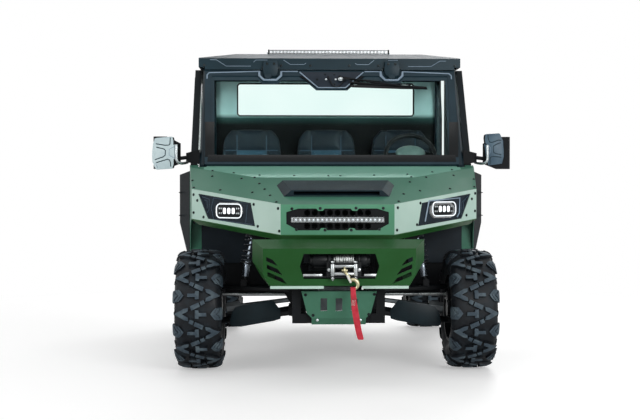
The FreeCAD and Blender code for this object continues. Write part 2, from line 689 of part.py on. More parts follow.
def pull_strap():
    """Flat webbing strap looped through the hook's bowl, hanging down in front of the skid plate."""
    x, z = HOOK_RING
    top = z - 12.5
    half = STRAP_LOOP / 2
    front = -FRONT_REACH
    back = HOOK_ST + 7.1
    end = back + STRAP_LAYER
    low_x, low_z = STRAP_POINTS[0]
    loop = [(x - half, top), (x + half, top), (low_x + half, low_z), (low_x - half, low_z)]
    left = [(px - STRAP_WIDTH / 2, pz) for px, pz in STRAP_POINTS]
    right = [(px + STRAP_WIDTH / 2, pz) for px, pz in reversed(STRAP_POINTS)]
    shapes = [
        front_profile(loop, back, end),
        front_profile(loop, front, front + STRAP_LAYER),
        box(x - half, x + half, at(front), at(end), top, top + STRAP_LAYER),
        box(low_x - half, low_x + half, at(front), at(end), low_z, low_z + STRAP_LAYER),
        front_profile(left + right, back, end),
    ]
    return fuse(shapes)


def radiator():
    """Radiator core behind the bumper with its two light brackets."""
    core = box(-150, 150, at(-330), at(-290), 560, 745)
    brackets = both(box(150, 178, at(-322), at(-296), 600, 720))
    return fuse([core] + brackets)


def lamp_bezels():
    """Moulded insert behind each lamp opening, with a stepped frame, and the lamp's hole."""
    grow = 0.02
    centre_s = sum(s for s, z in LAMP_OPENING) / 4
    centre_z = sum(z for s, z in LAMP_OPENING) / 4

    def scaled(factor):
        return [(centre_s + (s - centre_s) * factor, centre_z + (z - centre_z) * factor) for s,
                z in LAMP_OPENING]

    flange = lamp_prism(scaled(1 + grow), SHEET + SEAT_GAP, SHEET + 4)
    step = lamp_prism(scaled(0.985), 1.5, SHEET + 4).cut(lamp_prism(scaled(0.9), 0, SHEET + 1))
    recess = lamp_prism([(0.9, 951), (0.79, 944), (0.79, 880)], 0, SHEET + 1)
    hole = lamp_oval(LAMP_SIZE[0] + 2, LAMP_SIZE[1] + 2, -9, 90)
    return both(cut_all(fuse([flange, step]), [hole, recess]))


def headlamps():
    """Lamp units: ringed body with three upright bars, one on each side."""
    width, height = LAMP_SIZE
    body = lamp_oval(width, height, 2, 52)
    ring = lamp_oval(width, height, -4, 4).cut(lamp_oval(width - 22, height - 22, -5, 2))
    run = V(LAMP_PANEL_END_X - NOSE_HALF_FRONT, LAMP_PANEL_END_ST - NOSE_FRONT, 0).Length
    bars = []
    for n in (-1, 0, 1):
        s = LAMP_LENS[0] + n * 48 / run
        outline = [(s - 9 / run, 855), (s + 9 / run, 855), (s + 9 / run, 901), (s - 9 / run, 901)]
        bars.append(lamp_prism(outline, -1, 3))
    return both(fuse([body, ring] + bars))


def grille_insert():
    """Honeycomb plate behind the grille opening, in a raised frame."""
    plate = front_profile(grille_outline(14), GRILLE_BACK, GRILLE_BACK + 8)
    cells = []
    row_step = GRILLE_CELL * 0.88
    for row in range(GRILLE_ROWS):
        z = GRILLE_Z[0] + 22 + row * row_step
        for column in range(-6, 7):
            x = column * GRILLE_CELL + (row % 2) * GRILLE_CELL / 2
            if abs(x) < (GRILLE_HALF - 28 if row == 1 else GRILLE_SHOULDER - 8):
                ring = []
                for n in range(6):
                    turn = math.pi * (n / 3 + 1 / 6)
                    ring.append((x + GRILLE_HOLE_R * math.cos(turn), z + GRILLE_HOLE_R * math.sin(turn)))
                cells.append(front_profile(ring, GRILLE_BACK - 1, GRILLE_BACK + 9))
    return cut_all(plate, cells)


def grille_light_bar():
    """Slim light bar across the grille."""
    return box(-245, 245, at(NOSE_FRONT - 8), at(GRILLE_BACK) - SEAT_GAP, 818, 846)


def wheel_arch_liners():
    """Moulded liners behind and inboard of each front wheel, under the fenders."""
    seat = FENDER_WALL_ST - SEAT_GAP
    back = side_profile([(seat - 4, 560), (seat, 560), (seat, 790), (180, 806), (180, 802), (seat - 4, 786)],
                        450, 765)
    inner = box(446, 450, at(180), at(seat), 700, 804)
    return both(fuse([back, inner]))


def chassis_frame():
    """Ladder frame with nose posts, suspension cross members, cab outriggers, bed hinge and shock towers."""
    rails = both(box(RAIL_X - RAIL_SIZE / 2, RAIL_X + RAIL_SIZE / 2, at(NOSE_POST_ST), at(FRAME_TAIL_ST),
                     RAIL_LOW_Z, RAIL_TOP_Z))
    posts = both(box(NOSE_POST_X - 20, NOSE_POST_X + 20 + 5, at(NOSE_POST_ST), at(NOSE_POST_ST) + RAIL_SIZE,
                     RAIL_LOW_Z, 705))
    hood_posts = both(box(170, 210, at(-260), at(-220), RAIL_LOW_Z, 740))
    cross = [box(-RAIL_X, RAIL_X, at(st), at(st) + 40, RAIL_LOW_Z, RAIL_TOP_Z)
             for st in (NOSE_POST_ST + 5, 170, CAB_FRONT_ST + 40, 1480, FRAME_TAIL_ST - 40)]
    ties = [box(-198, 198, at(-495), at(-465), 500, WINCH_DECK_Z - SEAT_GAP),
            box(-200, 200, at(-255), at(-225), 700, 740),
            box(-190, 190, at(-290) + SEAT_GAP, at(-250), 575, 590)]
    outriggers = []
    for st in (CAB_FRONT_ST + 30, 980, 1480):
        outriggers.extend(both(box(RAIL_X, 700, at(st), at(st) + 40, 370, FLOOR_Z - SEAT_GAP)))
        outriggers.extend(both(box(RAIL_X - 20, RAIL_X + 20, at(st), at(st) + 40, RAIL_TOP_Z, 372)))
    towers = []
    for st, low in ((FRONT_SHOCK_ST, RAIL_LOW_Z), (REAR_SHOCK_ST, RAIL_LOW_Z)):
        tower = front_profile([(RAIL_X - 20, low), (RAIL_X + 20, low), (470, 752), (470, 790), (430, 790),
                               (RAIL_X - 20, 400)], st - 70, st - 40)
        beam = box(-470, 470, at(st - 70), at(st - 40), 752, 786)
        upper_rail = box(RAIL_X, RAIL_X + RAIL_SIZE / 2, at(st - 160), at(st + 160), 424, 456)
        upper_posts = [box(RAIL_X, RAIL_X + RAIL_SIZE / 2, at(st + a), at(st + a + 20), RAIL_TOP_Z - 2, 426)
                       for a in (-160, 140)]
        towers.extend(both(tower) + [beam] + both(upper_rail))
        for post in upper_posts:
            towers.extend(both(post))
        for side in (1, -1):
            towers.append(faceted((side * SHOCK_TOP[0], at(st - 42), SHOCK_TOP[1]),
                                  (side * SHOCK_TOP[0], at(st) + SHOCK_PIN_END, SHOCK_TOP[1]), SHOCK_PIN_R, 8))
    hinge_posts = both(box(BED_HINGE_X - 34, BED_HINGE_X - 4, at(BED_PIVOT_ST) - 20, at(BED_PIVOT_ST) + 20,
                           RAIL_LOW_Z, BED_PIVOT_Z + 12))
    hinge_links = both(box(RAIL_X, BED_HINGE_X - 10, at(BED_PIVOT_ST) - 20, at(BED_PIVOT_ST) + 20,
                           RAIL_LOW_Z, RAIL_TOP_Z))
    pins = both(rod((BED_HINGE_X - 10, at(BED_PIVOT_ST), BED_PIVOT_Z),
                    (BED_HINGE_X + 14, at(BED_PIVOT_ST), BED_PIVOT_Z), BED_PIN_R))
    rest_top = BED_RUNNER_LOW - MOVING_GAP
    bed_rests = both(front_profile([(175, RAIL_TOP_Z - 2), (210, RAIL_TOP_Z - 2), (210, 740), (282, 740),
                                    (282, rest_top), (175, rest_top)], 1600, 1630))
    return fuse(rails + posts + hood_posts + cross + ties + outriggers + towers + hinge_posts + hinge_links
                + pins + bed_rests)


def cab_tub():
    """Cab floor with sills, firewall, footwell sides and the riser under the seats."""
    floor = box(-CAB_SIDE_X, CAB_SIDE_X, at(CAB_FRONT_ST + 1), at(REAR_WALL_ST) - SEAT_GAP, FLOOR_Z,
                FLOOR_Z + SHEET)
    sills = both(box(740, CAB_SIDE_X, at(CAB_FRONT_ST + 1), at(REAR_WALL_ST) - SEAT_GAP, FLOOR_Z, SILL_Z))
    firewall = box(-733, 733, at(CAB_FRONT_ST + 1), at(CAB_FRONT_ST + 5), FLOOR_Z, 1070)
    toe_board = side_profile([(CAB_FRONT_ST + 5, 600), (CAB_FRONT_ST + 9, 600),
                              (CAB_FRONT_ST + 150, FLOOR_Z + 4),
                              (CAB_FRONT_ST + 144, FLOOR_Z + 4)], -733, 733)
    tunnel = box(-120, 120, at(CAB_FRONT_ST + 5), at(940), FLOOR_Z, 520).cut(
        box(-116, 116, at(CAB_FRONT_ST + 1), at(941), FLOOR_Z - 1, 516))
    riser = box(-CAB_SIDE_X, CAB_SIDE_X, at(936), at(940), FLOOR_Z, SEAT_BASE_Z)
    return fuse([floor, firewall, toe_board, tunnel, riser] + sills)


def seat_base():
    """Raised deck that the seats stand on, open below for stowage."""
    deck = box(-730, 730, at(940) + SEAT_GAP, at(1440), SEAT_BASE_Z - SHEET, SEAT_BASE_Z)
    legs = []
    for st in (960, 1410):
        legs.extend(both(box(690, 720, at(st), at(st) + 30, FLOOR_Z + SHEET + SEAT_GAP, SEAT_BASE_Z - SHEET)))
        legs.append(box(-15, 15, at(st), at(st) + 30, FLOOR_Z + SHEET + SEAT_GAP, SEAT_BASE_Z - SHEET))
    return fuse([deck] + legs)


def seat_cushions():
    """Three seat cushions with a raised front edge."""
    side = [(945, SEAT_BASE_Z + SEAT_GAP), (930, 850), (950, SEAT_TOP_Z + 8), (1050, SEAT_TOP_Z), (1380, 846),
            (1420, SEAT_BASE_Z + SEAT_GAP)]
    return [side_profile(side, x - SEAT_HALF, x + SEAT_HALF) for x in (-SEAT_X, 0, SEAT_X)]


def seat_backs():
    """Three leaning seat backs with narrowed shoulders."""
    backs = []
    rear = CAGE_REAR_ST - CAGE_CROSS_R * math.cos(math.pi / CAGE_SIDES) - SEAT_GAP
    for x in (-SEAT_X, 0, SEAT_X):
        slab = side_profile([(1424, SEAT_BASE_Z + 20), (1392, 870), (1432, 1395), (1486, 1400), (rear, 1380),
                             (rear, SEAT_BASE_Z + 20)], x - 205, x + 205)
        outline = [(x - 205, SEAT_BASE_Z), (x + 205, SEAT_BASE_Z), (x + 205, 1250), (x + 190, 1340),
                   (x + 130, 1410),
                   (x - 130, 1410), (x - 190, 1340), (x - 205, 1250)]
        backs.append(slab.common(front_profile(outline, 1300, 1600)))
    return backs


GLASS_RUN = (at(GLASS_HEAD_ST) - at(GLASS_FOOT_ST), GLASS_HEAD_Z - GLASS_FOOT_Z)
GLASS_SLANT = math.hypot(*GLASS_RUN)


def on_screen(x, up, out=0.0):
    """A point on the windshield: x, distance up from its foot, distance out from its face."""
    su, zu = GLASS_RUN[0] / GLASS_SLANT, GLASS_RUN[1] / GLASS_SLANT
    return V(x, at(GLASS_FOOT_ST + up * su - out * zu), GLASS_FOOT_Z + up * zu + out * su)


def screen_half(up):
    """Half width of the windshield frame at a distance up from its foot."""
    return GLASS_FOOT_HALF + (GLASS_HEAD_HALF - GLASS_FOOT_HALF) * up / GLASS_SLANT


def screen_slab(inset, out_front, out_back, foot=0.0, head=0.0):
    """Slab in the windshield's plane, inset at its sides, foot and head, between two distances out."""
    low, high = inset + foot, GLASS_SLANT - inset - head
    a, b = screen_half(low) - inset, screen_half(high) - inset
    corners = [on_screen(-a, low, out_back), on_screen(a, low, out_back), on_screen(b, high, out_back),
               on_screen(-b, high, out_back)]
    push = on_screen(0, 0, out_front) - on_screen(0, 0, out_back)
    return prism(corners, push)


def screen_block(x0, x1, up0, up1, out0, out1):
    """Block square to the windshield's plane."""
    corners = [on_screen(x0, up0, out0), on_screen(x1, up0, out0), on_screen(x1, up1, out0),
               on_screen(x0, up1, out0)]
    return prism(corners, on_screen(0, 0, out1) - on_screen(0, 0, out0))


def windshield_frame():
    """Frame of the windshield with its two upper hinges."""
    frame = screen_slab(0, 0,
                        -SCREEN_FRAME_DEPTH).cut(screen_slab(SCREEN_FRAME_WIDTH, 1, -SCREEN_FRAME_DEPTH - 1))
    hinges = []
    for side in (-1, 1):
        x = side * SCREEN_HINGE_X
        top = GLASS_SLANT
        hinges.append(screen_block(x - 34, x + 34, top - 34, top - 6, 0, 8))
        hinges.append(screen_block(x - 20, x + 20, top - SCREEN_HINGE_DROP - 10, top - 30, 0, 6))
        centre = top - SCREEN_HINGE_DROP
        hinges.append(faceted(on_screen(x, centre, 0), on_screen(x, centre, 16), SCREEN_HINGE_R, 12))
    frame = fuse([frame] + hinges)
    return keep_inside(frame, (0, at(HOOD_REAR_ST), HOOD_REAR_Z + SEAT_GAP), (0, COWL_SLOPE, -1))


def windshield_glass():
    """Bonded windshield pane inside its frame."""
    pane = screen_slab(SCREEN_FRAME_WIDTH + 0.5, -6, -12)
    tip = GLASS_SLANT - SCREEN_HINGE_DROP
    holes = [faceted(on_screen(s * SCREEN_HINGE_X, tip, 1), on_screen(s * SCREEN_HINGE_X, tip, -5), SCREEN_HINGE_R + 1)
             for s in (-1, 1)]
    return cut_all(pane, holes)


def wiper():
    """Wiper motor plate against the top of the glass, spindle, arm and blade."""
    up = GLASS_SLANT
    inner = prism([on_screen(x, up - d, -5.5) for x, d in ((-186, 46), (210, 46), (108, 138), (-76, 138))],
                  on_screen(0, 0, 2) - on_screen(0, 0, -5.5))
    x, down = WIPER_SPINDLE
    spindle = faceted(on_screen(x, up - down, 1), on_screen(x, up - down, 26), 11, 8)
    arm = prism([on_screen(x, up - down + 7, 18), on_screen(x, up - down - 7, 18),
                 on_screen(415, up - 137, 18),
                 on_screen(415, up - 128, 18)], on_screen(0, 0, 23) - on_screen(0, 0, 18))
    blade = prism([on_screen(120, up - 100, 6), on_screen(122, up - 112, 6), on_screen(589, up - 153, 6),
                   on_screen(588, up - 141, 6)], on_screen(0, 0, 20) - on_screen(0, 0, 6))
    return fuse([inner, spindle, arm, blade])


def rounded_run(points, radius):
    """Cord along straight runs joined by tangent arcs, and the radius of each arc."""
    points = [V(*p) for p in points]
    lines = []
    start = points[0]
    bends = []
    for before, corner, after in zip(points, points[1:], points[2:]):
        into, out = (corner - before), (after - corner)
        run = min(into.Length, out.Length)
        into.normalize()
        out.normalize()
        turn = into.getAngle(out)
        bend = CORD_SHARE * run / math.tan(turn / 2)
        bends.append(bend)
        trim = CORD_SHARE * run
        first, last = corner - into * trim, corner + out * trim
        inward = (out - into).normalize()
        middle = corner + inward * (bend / math.cos(turn / 2) - bend)
        lines.append(Part.LineSegment(start, first).toShape())
        lines.append(Part.Arc(first, middle, last).toShape())
        start = last
    lines.append(Part.LineSegment(start, points[-1]).toShape())
    path = Part.Wire(lines)
    foot = faceted(points[0], points[1], radius, CORD_SIDES).Faces
    ring = min(foot, key=lambda face: (face.CenterOfMass - points[0]).Length)
    pipe = Part.BRepOffsetAPI.MakePipeShell(path)
    pipe.add(ring.OuterWire)
    pipe.build()
    pipe.makeSolid()
    cord = pipe.shape()
    print("cord bend radii", [round(bend, 1) for bend in bends], "volume over section times length",
          round(cord.Volume / (ring.Area * path.Length), 3))
    return cord


def wiper_cable():
    """Loop of cable from the wiper motor plate down over the glass and back to the spindle."""
    up = GLASS_SLANT
    points = [(-12, up - 48, 5.4), (-12, up - 66, 16), (0, up - 92, 18), (16, up - 140, 18),
              (48, up - 142, 18),
              (72, up - 112, 17), (84, up - 96, 14), (94, up - 84, 5.4)]
    return rounded_run([tuple(on_screen(*p)) for p in points], WIPER_CABLE_R)


def cage_path(side):
    """Centre line of one side hoop of the roll cage."""
    drop = CAGE_TUBE_R * math.cos(math.pi / CAGE_SIDES) + SEAT_GAP + SCREEN_FRAME_DEPTH
    foot = on_screen(0, 20, -drop)
    head = on_screen(0, GLASS_SLANT + 44, -drop)
    x = side * CAGE_X
    return [(x, at(450), SILL_Z + SEAT_GAP), (x, at(450), 1030), (x, foot.y, foot.z), (x, head.y, head.z),
            (x, at(CAGE_REAR_ST), head.z), (x, at(CAGE_REAR_ST + 2), SILL_Z + SEAT_GAP)]


def roll_cage():
    """Tube cage: two side hoops joined by cross bars, with front posts down to the sills."""
    right, left = cage_path(-1), cage_path(1)
    parts = [tube_run(path, CAGE_TUBE_R, CAGE_SIDES) for path in (right, left)]
    for a, b in ((right[3], left[3]), (right[4], left[4])):
        parts.append(faceted(a, b, CAGE_TUBE_R - 2, CAGE_SIDES))
    parts.append(faceted((-CAGE_X, at(CAGE_REAR_ST), 1130), (CAGE_X, at(CAGE_REAR_ST), 1130),
                         CAGE_CROSS_R, CAGE_SIDES))
    x, st = DOOR_HINGE
    for z, leaf_z in DOOR_KNUCKLES:
        leaf = box(CAGE_X, x + 8, at(st - 7), at(st + 7), leaf_z, leaf_z + 12)
        pin = rod((x, at(st), min(z + 2, leaf_z + 6)), (x, at(st), max(z + 58, leaf_z + 6)), HINGE_PIN_R)
        parts.extend(both(leaf) + both(pin))
    return fuse(parts)


def roof_block(inset):
    """Everything inside the roof's outer faces, moved inwards by inset."""
    block = box(-FAR / 2, FAR / 2, at(ROOF_FRONT_ST) - FAR / 9, at(ROOF_REAR_ST) + FAR / 9, 1700, ROOF_CROWN_Z + 9)
    planes = [((0, at(ROOF_FRONT_ST), ROOF_LOW_Z), (0, -1, 0)), ((0, at(ROOF_REAR_ST), 0), (0, 1, 0)),
              ((0, 0, ROOF_CROWN_Z), (0, 0, 1)),
              ((0, at(ROOF_FRONT_ST), ROOF_EDGE_Z - 4), (0, -0.3, 1)),
              ((0, at(ROOF_REAR_ST), ROOF_EDGE_Z - 4), (0, 0.3, 1))]
    for side in (1, -1):
        planes.append(((side * ROOF_HALF_WIDTH, 0, ROOF_LOW_Z), (side, 0, 0)))
        planes.append(((side * ROOF_HALF_WIDTH, 0, ROOF_EDGE_Z), (side * 0.16, 0, 1)))
    return bounded(block, planes, inset)


def roof_panel():
    """Moulded roof shell with chamfered edges, two raised ribs and a recess towards the front."""
    outer = roof_block(0)
    hollow = roof_block(ROOF_WALL)
    skin = outer.cut(hollow).cut(box(-ROOF_HALF_WIDTH + 18, ROOF_HALF_WIDTH - 18, at(ROOF_FRONT_ST + 18),
                                     at(ROOF_REAR_ST - 18), 1690, 1760))
    sides = box(-FAR / 2, FAR / 2, at(ROOF_FRONT_ST + 30), at(ROOF_REAR_ST + 10), 1690, ROOF_LOW_Z)
    brow_end = both(box(GLASS_HEAD_HALF, ROOF_HALF_WIDTH + 9, at(ROOF_FRONT_ST - 9), at(ROOF_REAR_ST), 1690,
                        ROOF_LOW_Z))
    brow = box(-FAR / 2, FAR / 2, at(ROOF_FRONT_ST - 9), at(ROOF_FRONT_ST + 30), 1690, 1727)
    recesses = [box(-330, 330, at(ROOF_FRONT_ST + 320), at(ROOF_REAR_ST - 120), ROOF_CROWN_Z - 5,
                    ROOF_CROWN_Z + 9)]
    recesses.extend(both(box(420, 640, at(ROOF_FRONT_ST + 150), at(ROOF_REAR_ST - 120), ROOF_CROWN_Z - 12,
                             1900)))
    return cut_all(skin, [sides, brow] + brow_end + recesses)


def roof_light_bar():
    """Light bar on two end brackets across the roof."""
    base = ROOF_CROWN_Z + SEAT_GAP
    body = side_profile([(LIGHT_BAR_ST - 20, base + 8), (LIGHT_BAR_ST - 20, base + 30),
                         (LIGHT_BAR_ST + 12, base + 34),
                         (LIGHT_BAR_ST + 24, base + 22), (LIGHT_BAR_ST + 20, base + 8)],
                        -LIGHT_BAR_HALF + 12, LIGHT_BAR_HALF - 12)
    ends = both(box(LIGHT_BAR_HALF - 14, LIGHT_BAR_HALF - 8, at(LIGHT_BAR_ST - 16), at(LIGHT_BAR_ST + 16),
                    base, base + 30))
    foot = box(LIGHT_BAR_HALF - 34, LIGHT_BAR_HALF, at(LIGHT_BAR_ST - 12), at(LIGHT_BAR_ST + 12), base - 60, base + 4)
    feet = both(foot.cut(roof_block(-SEAT_GAP)))
    return fuse([body] + ends + feet)


def steering_axis(reach):
    """A point on the steering column's centre line, a distance towards the driver from the wheel's centre."""
    x, st, z = STEERING_CENTRE
    return V(x, at(st) + reach * math.cos(STEERING_TILT), z + reach * math.sin(STEERING_TILT))


def dashboard():
    """Dash shell across the cab with its screen pod, and the steering column."""
    seat = CAB_FRONT_ST + 5 + SEAT_GAP
    side = [(seat, 870), (seat, 1072), (480, 1122), (580, 1128), (622, 1080), (600, 940),
            (560, 870)]
    shell = side_profile(side, -710, 710)
    inner = side_profile([(CAB_FRONT_ST, 850), (CAB_FRONT_ST, 1066), (486, 1112), (574, 1118), (610, 1078),
                          (588, 944),
                          (548, 850)], -700, 700)
    shell = shell.cut(inner)
    pod = side_profile([(596, 1060), (600, 1150), (618, 1150), (630, 1068), (606, 1040)], -110, 110)
    column = fuse([faceted(steering_axis(-270), steering_axis(-60), 26, 8),
                   faceted(steering_axis(-61), steering_axis(-STEERING_HUB_DEPTH - SEAT_GAP), 14, 8)])
    return fuse([shell, pod, column])


def steering_wheel():
    """Steering wheel: faceted rim, three spokes and a hub."""
    centre = steering_axis(0)
    across = V(1, 0, 0)
    upward = V(0, -math.sin(STEERING_TILT), math.cos(STEERING_TILT))
    axis = V(0, math.cos(STEERING_TILT), math.sin(STEERING_TILT))

    def disc(radius, half_depth, sides):
        corners = []
        for n in range(sides):
            turn = 2 * math.pi * n / sides
            corners.append(centre - axis * half_depth + across * (radius * math.cos(turn))
                           + upward * (radius * math.sin(turn)))
        return prism(corners, axis * (2 * half_depth))

    rim = disc(STEERING_RIM_R, 14, 32).cut(disc(STEERING_RIM_R - 28, 15, 32))
    hub = disc(48, STEERING_HUB_DEPTH, 16)
    spokes = []
    for angle in (0, 180, 270):
        turn = math.radians(angle)
        out = across * math.cos(turn) + upward * math.sin(turn)
        wide = axis.cross(out)
        start, end = centre + out * 40, centre + out * (STEERING_RIM_R - 14)
        spokes.append(prism([start - wide * 18 - axis * 5, end - wide * 12 - axis * 5,
                             end + wide * 12 - axis * 5,
                             start + wide * 18 - axis * 5], axis * 10))
    return fuse([rim, hub] + spokes)


def rear_panel():
    """Back wall of the cab with its window opening and side returns."""
    wall = box(-CAB_SIDE_X, CAB_SIDE_X, at(REAR_WALL_ST), at(CAB_REAR_ST), FLOOR_Z, ROOF_LOW_Z + 20)
    low, high = REAR_WINDOW_Z
    window = box(-REAR_WINDOW_HALF, REAR_WINDOW_HALF, at(REAR_WALL_ST) - 9, at(CAB_REAR_ST) + 9, low, high)
    corner_cut = both(front_profile([(CAB_SIDE_X + 9, 1500), (CAB_SIDE_X + 9, 1800), (775, 1800),
                                     (CAB_SIDE_X, 1500)],
                                    REAR_WALL_ST - 9, CAB_REAR_ST + 9))
    return cut_all(wall, [window] + corner_cut)


def rear_window():
    """Rear window pane seated in the back wall."""
    low, high = REAR_WINDOW_Z
    return box(-REAR_WINDOW_HALF + SEAT_GAP, REAR_WINDOW_HALF - SEAT_GAP, at(REAR_WALL_ST) + 4,
               at(REAR_WALL_ST) + 9,
               low + SEAT_GAP, high - SEAT_GAP)


def door_window_outline(inset):
    """Side outline of the door's upper part, moved inwards by inset."""
    lean = GLASS_RUN[0] / GLASS_RUN[1]
    foot_st = DOOR_EDGE_ST + 20 + inset * 1.21
    rise = DOOR_TOP_Z - inset - BELT_Z
    return [(foot_st, BELT_Z - 5 + min(inset, 5)), (foot_st + lean * rise, DOOR_TOP_Z - inset),
            (DOOR_REAR_ST - inset, DOOR_TOP_Z - inset), (DOOR_REAR_ST - inset, BELT_Z - 5 + min(inset, 5))]


def door():
    """Driver's side door: bulged hollow lower panel, window frame, hinge knuckles and latch handle."""
    section = [(DOOR_INNER_X, DOOR_LOW_Z), (DOOR_INNER_X + 20, DOOR_LOW_Z), (DOOR_BULGE_X, 792),
               (DOOR_BULGE_X, 1078),
               (DOOR_FRAME_X, BELT_Z), (DOOR_INNER_X, BELT_Z)]
    low = front_profile(section, DOOR_EDGE_ST, DOOR_REAR_ST)
    side = side_profile([(DOOR_EDGE_ST, DOOR_LOW_Z), (1310, DOOR_LOW_Z), (DOOR_REAR_ST, 660),
                         (DOOR_REAR_ST, BELT_Z),
                         (DOOR_EDGE_ST, BELT_Z)], 700, 950)
    low = low.common(side)
    low = keep_inside(low, (840, at(DOOR_EDGE_ST), 0), (105, -65, 0))
    low = keep_inside(low, (840, at(DOOR_REAR_ST), 0), (60, 65, 0))
    wall = 30
    pocket = front_profile([(DOOR_INNER_X - 9, 600), (DOOR_INNER_X, 600), (DOOR_BULGE_X - wall, 800),
                            (DOOR_BULGE_X - wall, 1050), (DOOR_INNER_X - 9, 1064)], 580, 1300)
    low = low.cut(pocket)
    frame = side_profile(door_window_outline(0), DOOR_INNER_X, DOOR_FRAME_X)
    frame = frame.cut(side_profile(door_window_outline(DOOR_FRAME_WIDTH), DOOR_INNER_X - 9, DOOR_FRAME_X + 9))
    x, st = DOOR_HINGE
    knuckles = []
    for z, leaf_z in DOOR_KNUCKLES:
        barrel = fuse([faceted((x, at(st), z), (x, at(st), z + 60), 10, 8),
                       box(x - 7, x + 7, at(st), at(462), z, z + 60)])
        knuckles.append(barrel.cut(rod((x, at(st), z - 1), (x, at(st), z + 61), HINGE_PIN_R + BEARING_GAP)))
    handle = box(DOOR_BULGE_X - 4, DOOR_BULGE_X + 10, at(1330), at(1430), 1010, 1040)
    return fuse([low, frame, handle] + knuckles)


def door_glass():
    """Driver's side door window seated in its frame."""
    return side_profile(door_window_outline(DOOR_FRAME_WIDTH + SEAT_GAP), DOOR_INNER_X + 15,
                        DOOR_INNER_X + 20)


def mirror():
    """Driver's side mirror: block at the pillar's foot, elbow arm and housing with its glass."""
    seat = CAGE_X + CAGE_TUBE_R * math.cos(math.pi / CAGE_SIDES) + SEAT_GAP
    block = prism([(seat, at(440), 1140), (858, at(440), 1150), (858, at(440), 1205), (seat, at(440), 1225)],
                  (0, 30, 0))
    arm = tube_run([(846, at(452), 1180), (896, at(412), 1172), (925, at(392), 1196)], 11, 6)
    head = plan_profile([(900, 350), (1028, 342), (1040, 356), (1036, 392), (892, 400), (884, 380)], 1110,
                        1298)
    head = keep_inside(head, (890, at(380), 1262), (-0.5, 0, 1))
    head = keep_inside(head, (890, at(380), 1140), (-0.4, 0, -1))
    pane = box(900, 1030, at(401), at(404), 1150, 1260)
    return fuse([block, arm, head, pane])


def bed_box():
    """Dump bed: ribbed floor on two runners, front wall, sides with fender skins and hinge ears."""
    floor = box(-BED_HALF_WIDTH, BED_HALF_WIDTH, at(BED_FRONT_ST), at(BED_FLOOR_END_ST), BED_FLOOR_Z,
                BED_FLOOR_Z + 8)
    head = box(-BED_HALF_WIDTH, BED_HALF_WIDTH, at(BED_FRONT_ST), at(BED_FRONT_ST + BED_WALL), BED_FLOOR_Z,
               BED_RIM_Z)
    side = box(BED_HALF_WIDTH - BED_WALL, BED_HALF_WIDTH, at(BED_FRONT_ST), at(BED_REAR_ST), BED_FLOOR_Z,
               BED_RIM_Z)
    arch = [(2060 + 372 * math.cos(math.radians(a)), AXLE_HEIGHT + 372 * math.sin(math.radians(a)))
            for a in range(15, 166, 25)]
    skin_side = [(BED_FRONT_ST, 640), (BED_FRONT_ST, BED_RIM_Z - 12), (BED_REAR_ST, BED_RIM_Z - 12),
                 (BED_REAR_ST, 700)]
    outer = side_profile(skin_side, BED_HALF_WIDTH, FENDER_X)
    inner = side_profile(skin_side, BED_HALF_WIDTH - 1, FENDER_X - SHEET)
    wheel_room = side_profile(arch, 500, FAR / 3)
    shell = cut_all(outer, [inner])
    top = box(BED_HALF_WIDTH, FENDER_X, at(BED_FRONT_ST), at(BED_REAR_ST), BED_RIM_Z - 16, BED_RIM_Z - 12)
    front_cap = box(BED_HALF_WIDTH, FENDER_X, at(BED_FRONT_ST), at(BED_FRONT_ST + SHEET), 640, BED_RIM_Z - 12)
    rear_cap = box(BED_HALF_WIDTH, FENDER_X, at(BED_REAR_ST - SHEET), at(BED_REAR_ST), 700, BED_RIM_Z - 12)
    fender = fuse([shell, top, front_cap, rear_cap]).cut(wheel_room)
    runner = box(BED_HINGE_X - 84, BED_HINGE_X - 44, at(BED_FRONT_ST), at(BED_FLOOR_END_ST), BED_RUNNER_LOW,
                 BED_FLOOR_Z)
    ear = box(BED_HINGE_X + 3, BED_HINGE_X + 11, at(BED_PIVOT_ST - 34), at(BED_PIVOT_ST + 34),
              BED_PIVOT_Z - 34, BED_FLOOR_Z)
    ear = ear.cut(rod((BED_HINGE_X, at(BED_PIVOT_ST), BED_PIVOT_Z),
                      (BED_HINGE_X + 20, at(BED_PIVOT_ST), BED_PIVOT_Z),
                      BED_PIN_R + BEARING_GAP))
    st, z = TAILGATE_AXIS
    hinges = []
    for x in TAILGATE_HINGES:
        hinges.append(rod((x - 46, at(st), z), (x + 46, at(st), z), HINGE_PIN_R))
        for x0 in (x - 50, x + 43):
            hinges.append(side_profile([(2430, 828), (2494, 838), (2503, 842), (2503, 853), (2490, 853),
                                        (2456, 844),
                                        (2430, 844)], x0, x0 + 7))
    ribs = [box(-BED_HALF_WIDTH + BED_WALL, BED_HALF_WIDTH - BED_WALL, at(st), at(st) + 40, BED_FLOOR_Z + 8,
                BED_FLOOR_Z + 12)
            for st in range(1700, 2420, 120)]
    return fuse([floor, head] + both(side) + both(fender) + both(runner) + both(ear) + ribs + hinges)


def tailgate():
    """Ribbed tailgate panel with its hinge barrels and a latch handle."""
    z0 = BED_FLOOR_Z + 14
    panel = box(-TAILGATE_HALF, TAILGATE_HALF, at(2468), at(2486), z0, BED_RIM_Z)
    pockets = [box(x - 190, x + 190, at(2480), at(2499), z0 + 50, BED_RIM_Z - 50) for x in (-430, 0, 430)]
    handle = box(-60, 60, at(2478), at(2492), BED_RIM_Z - 36, BED_RIM_Z - 18)
    barrels, bores = [], []
    st, z = TAILGATE_AXIS
    for x in TAILGATE_HINGES:
        barrels.append(faceted((x - 36, at(st), z), (x + 36, at(st), z), 9, 8))
        barrels.append(side_profile([(st - 14, z0 + 2), (st - 6, z - 2), (st, z + 4), (st - 12, z0 + 30)],
                                    x - 30, x + 30))
        bores.append(rod((x - 40, at(st), z), (x + 40, at(st), z), HINGE_PIN_R + BEARING_GAP))
    return cut_all(fuse([cut_all(panel, pockets), handle] + barrels), bores)


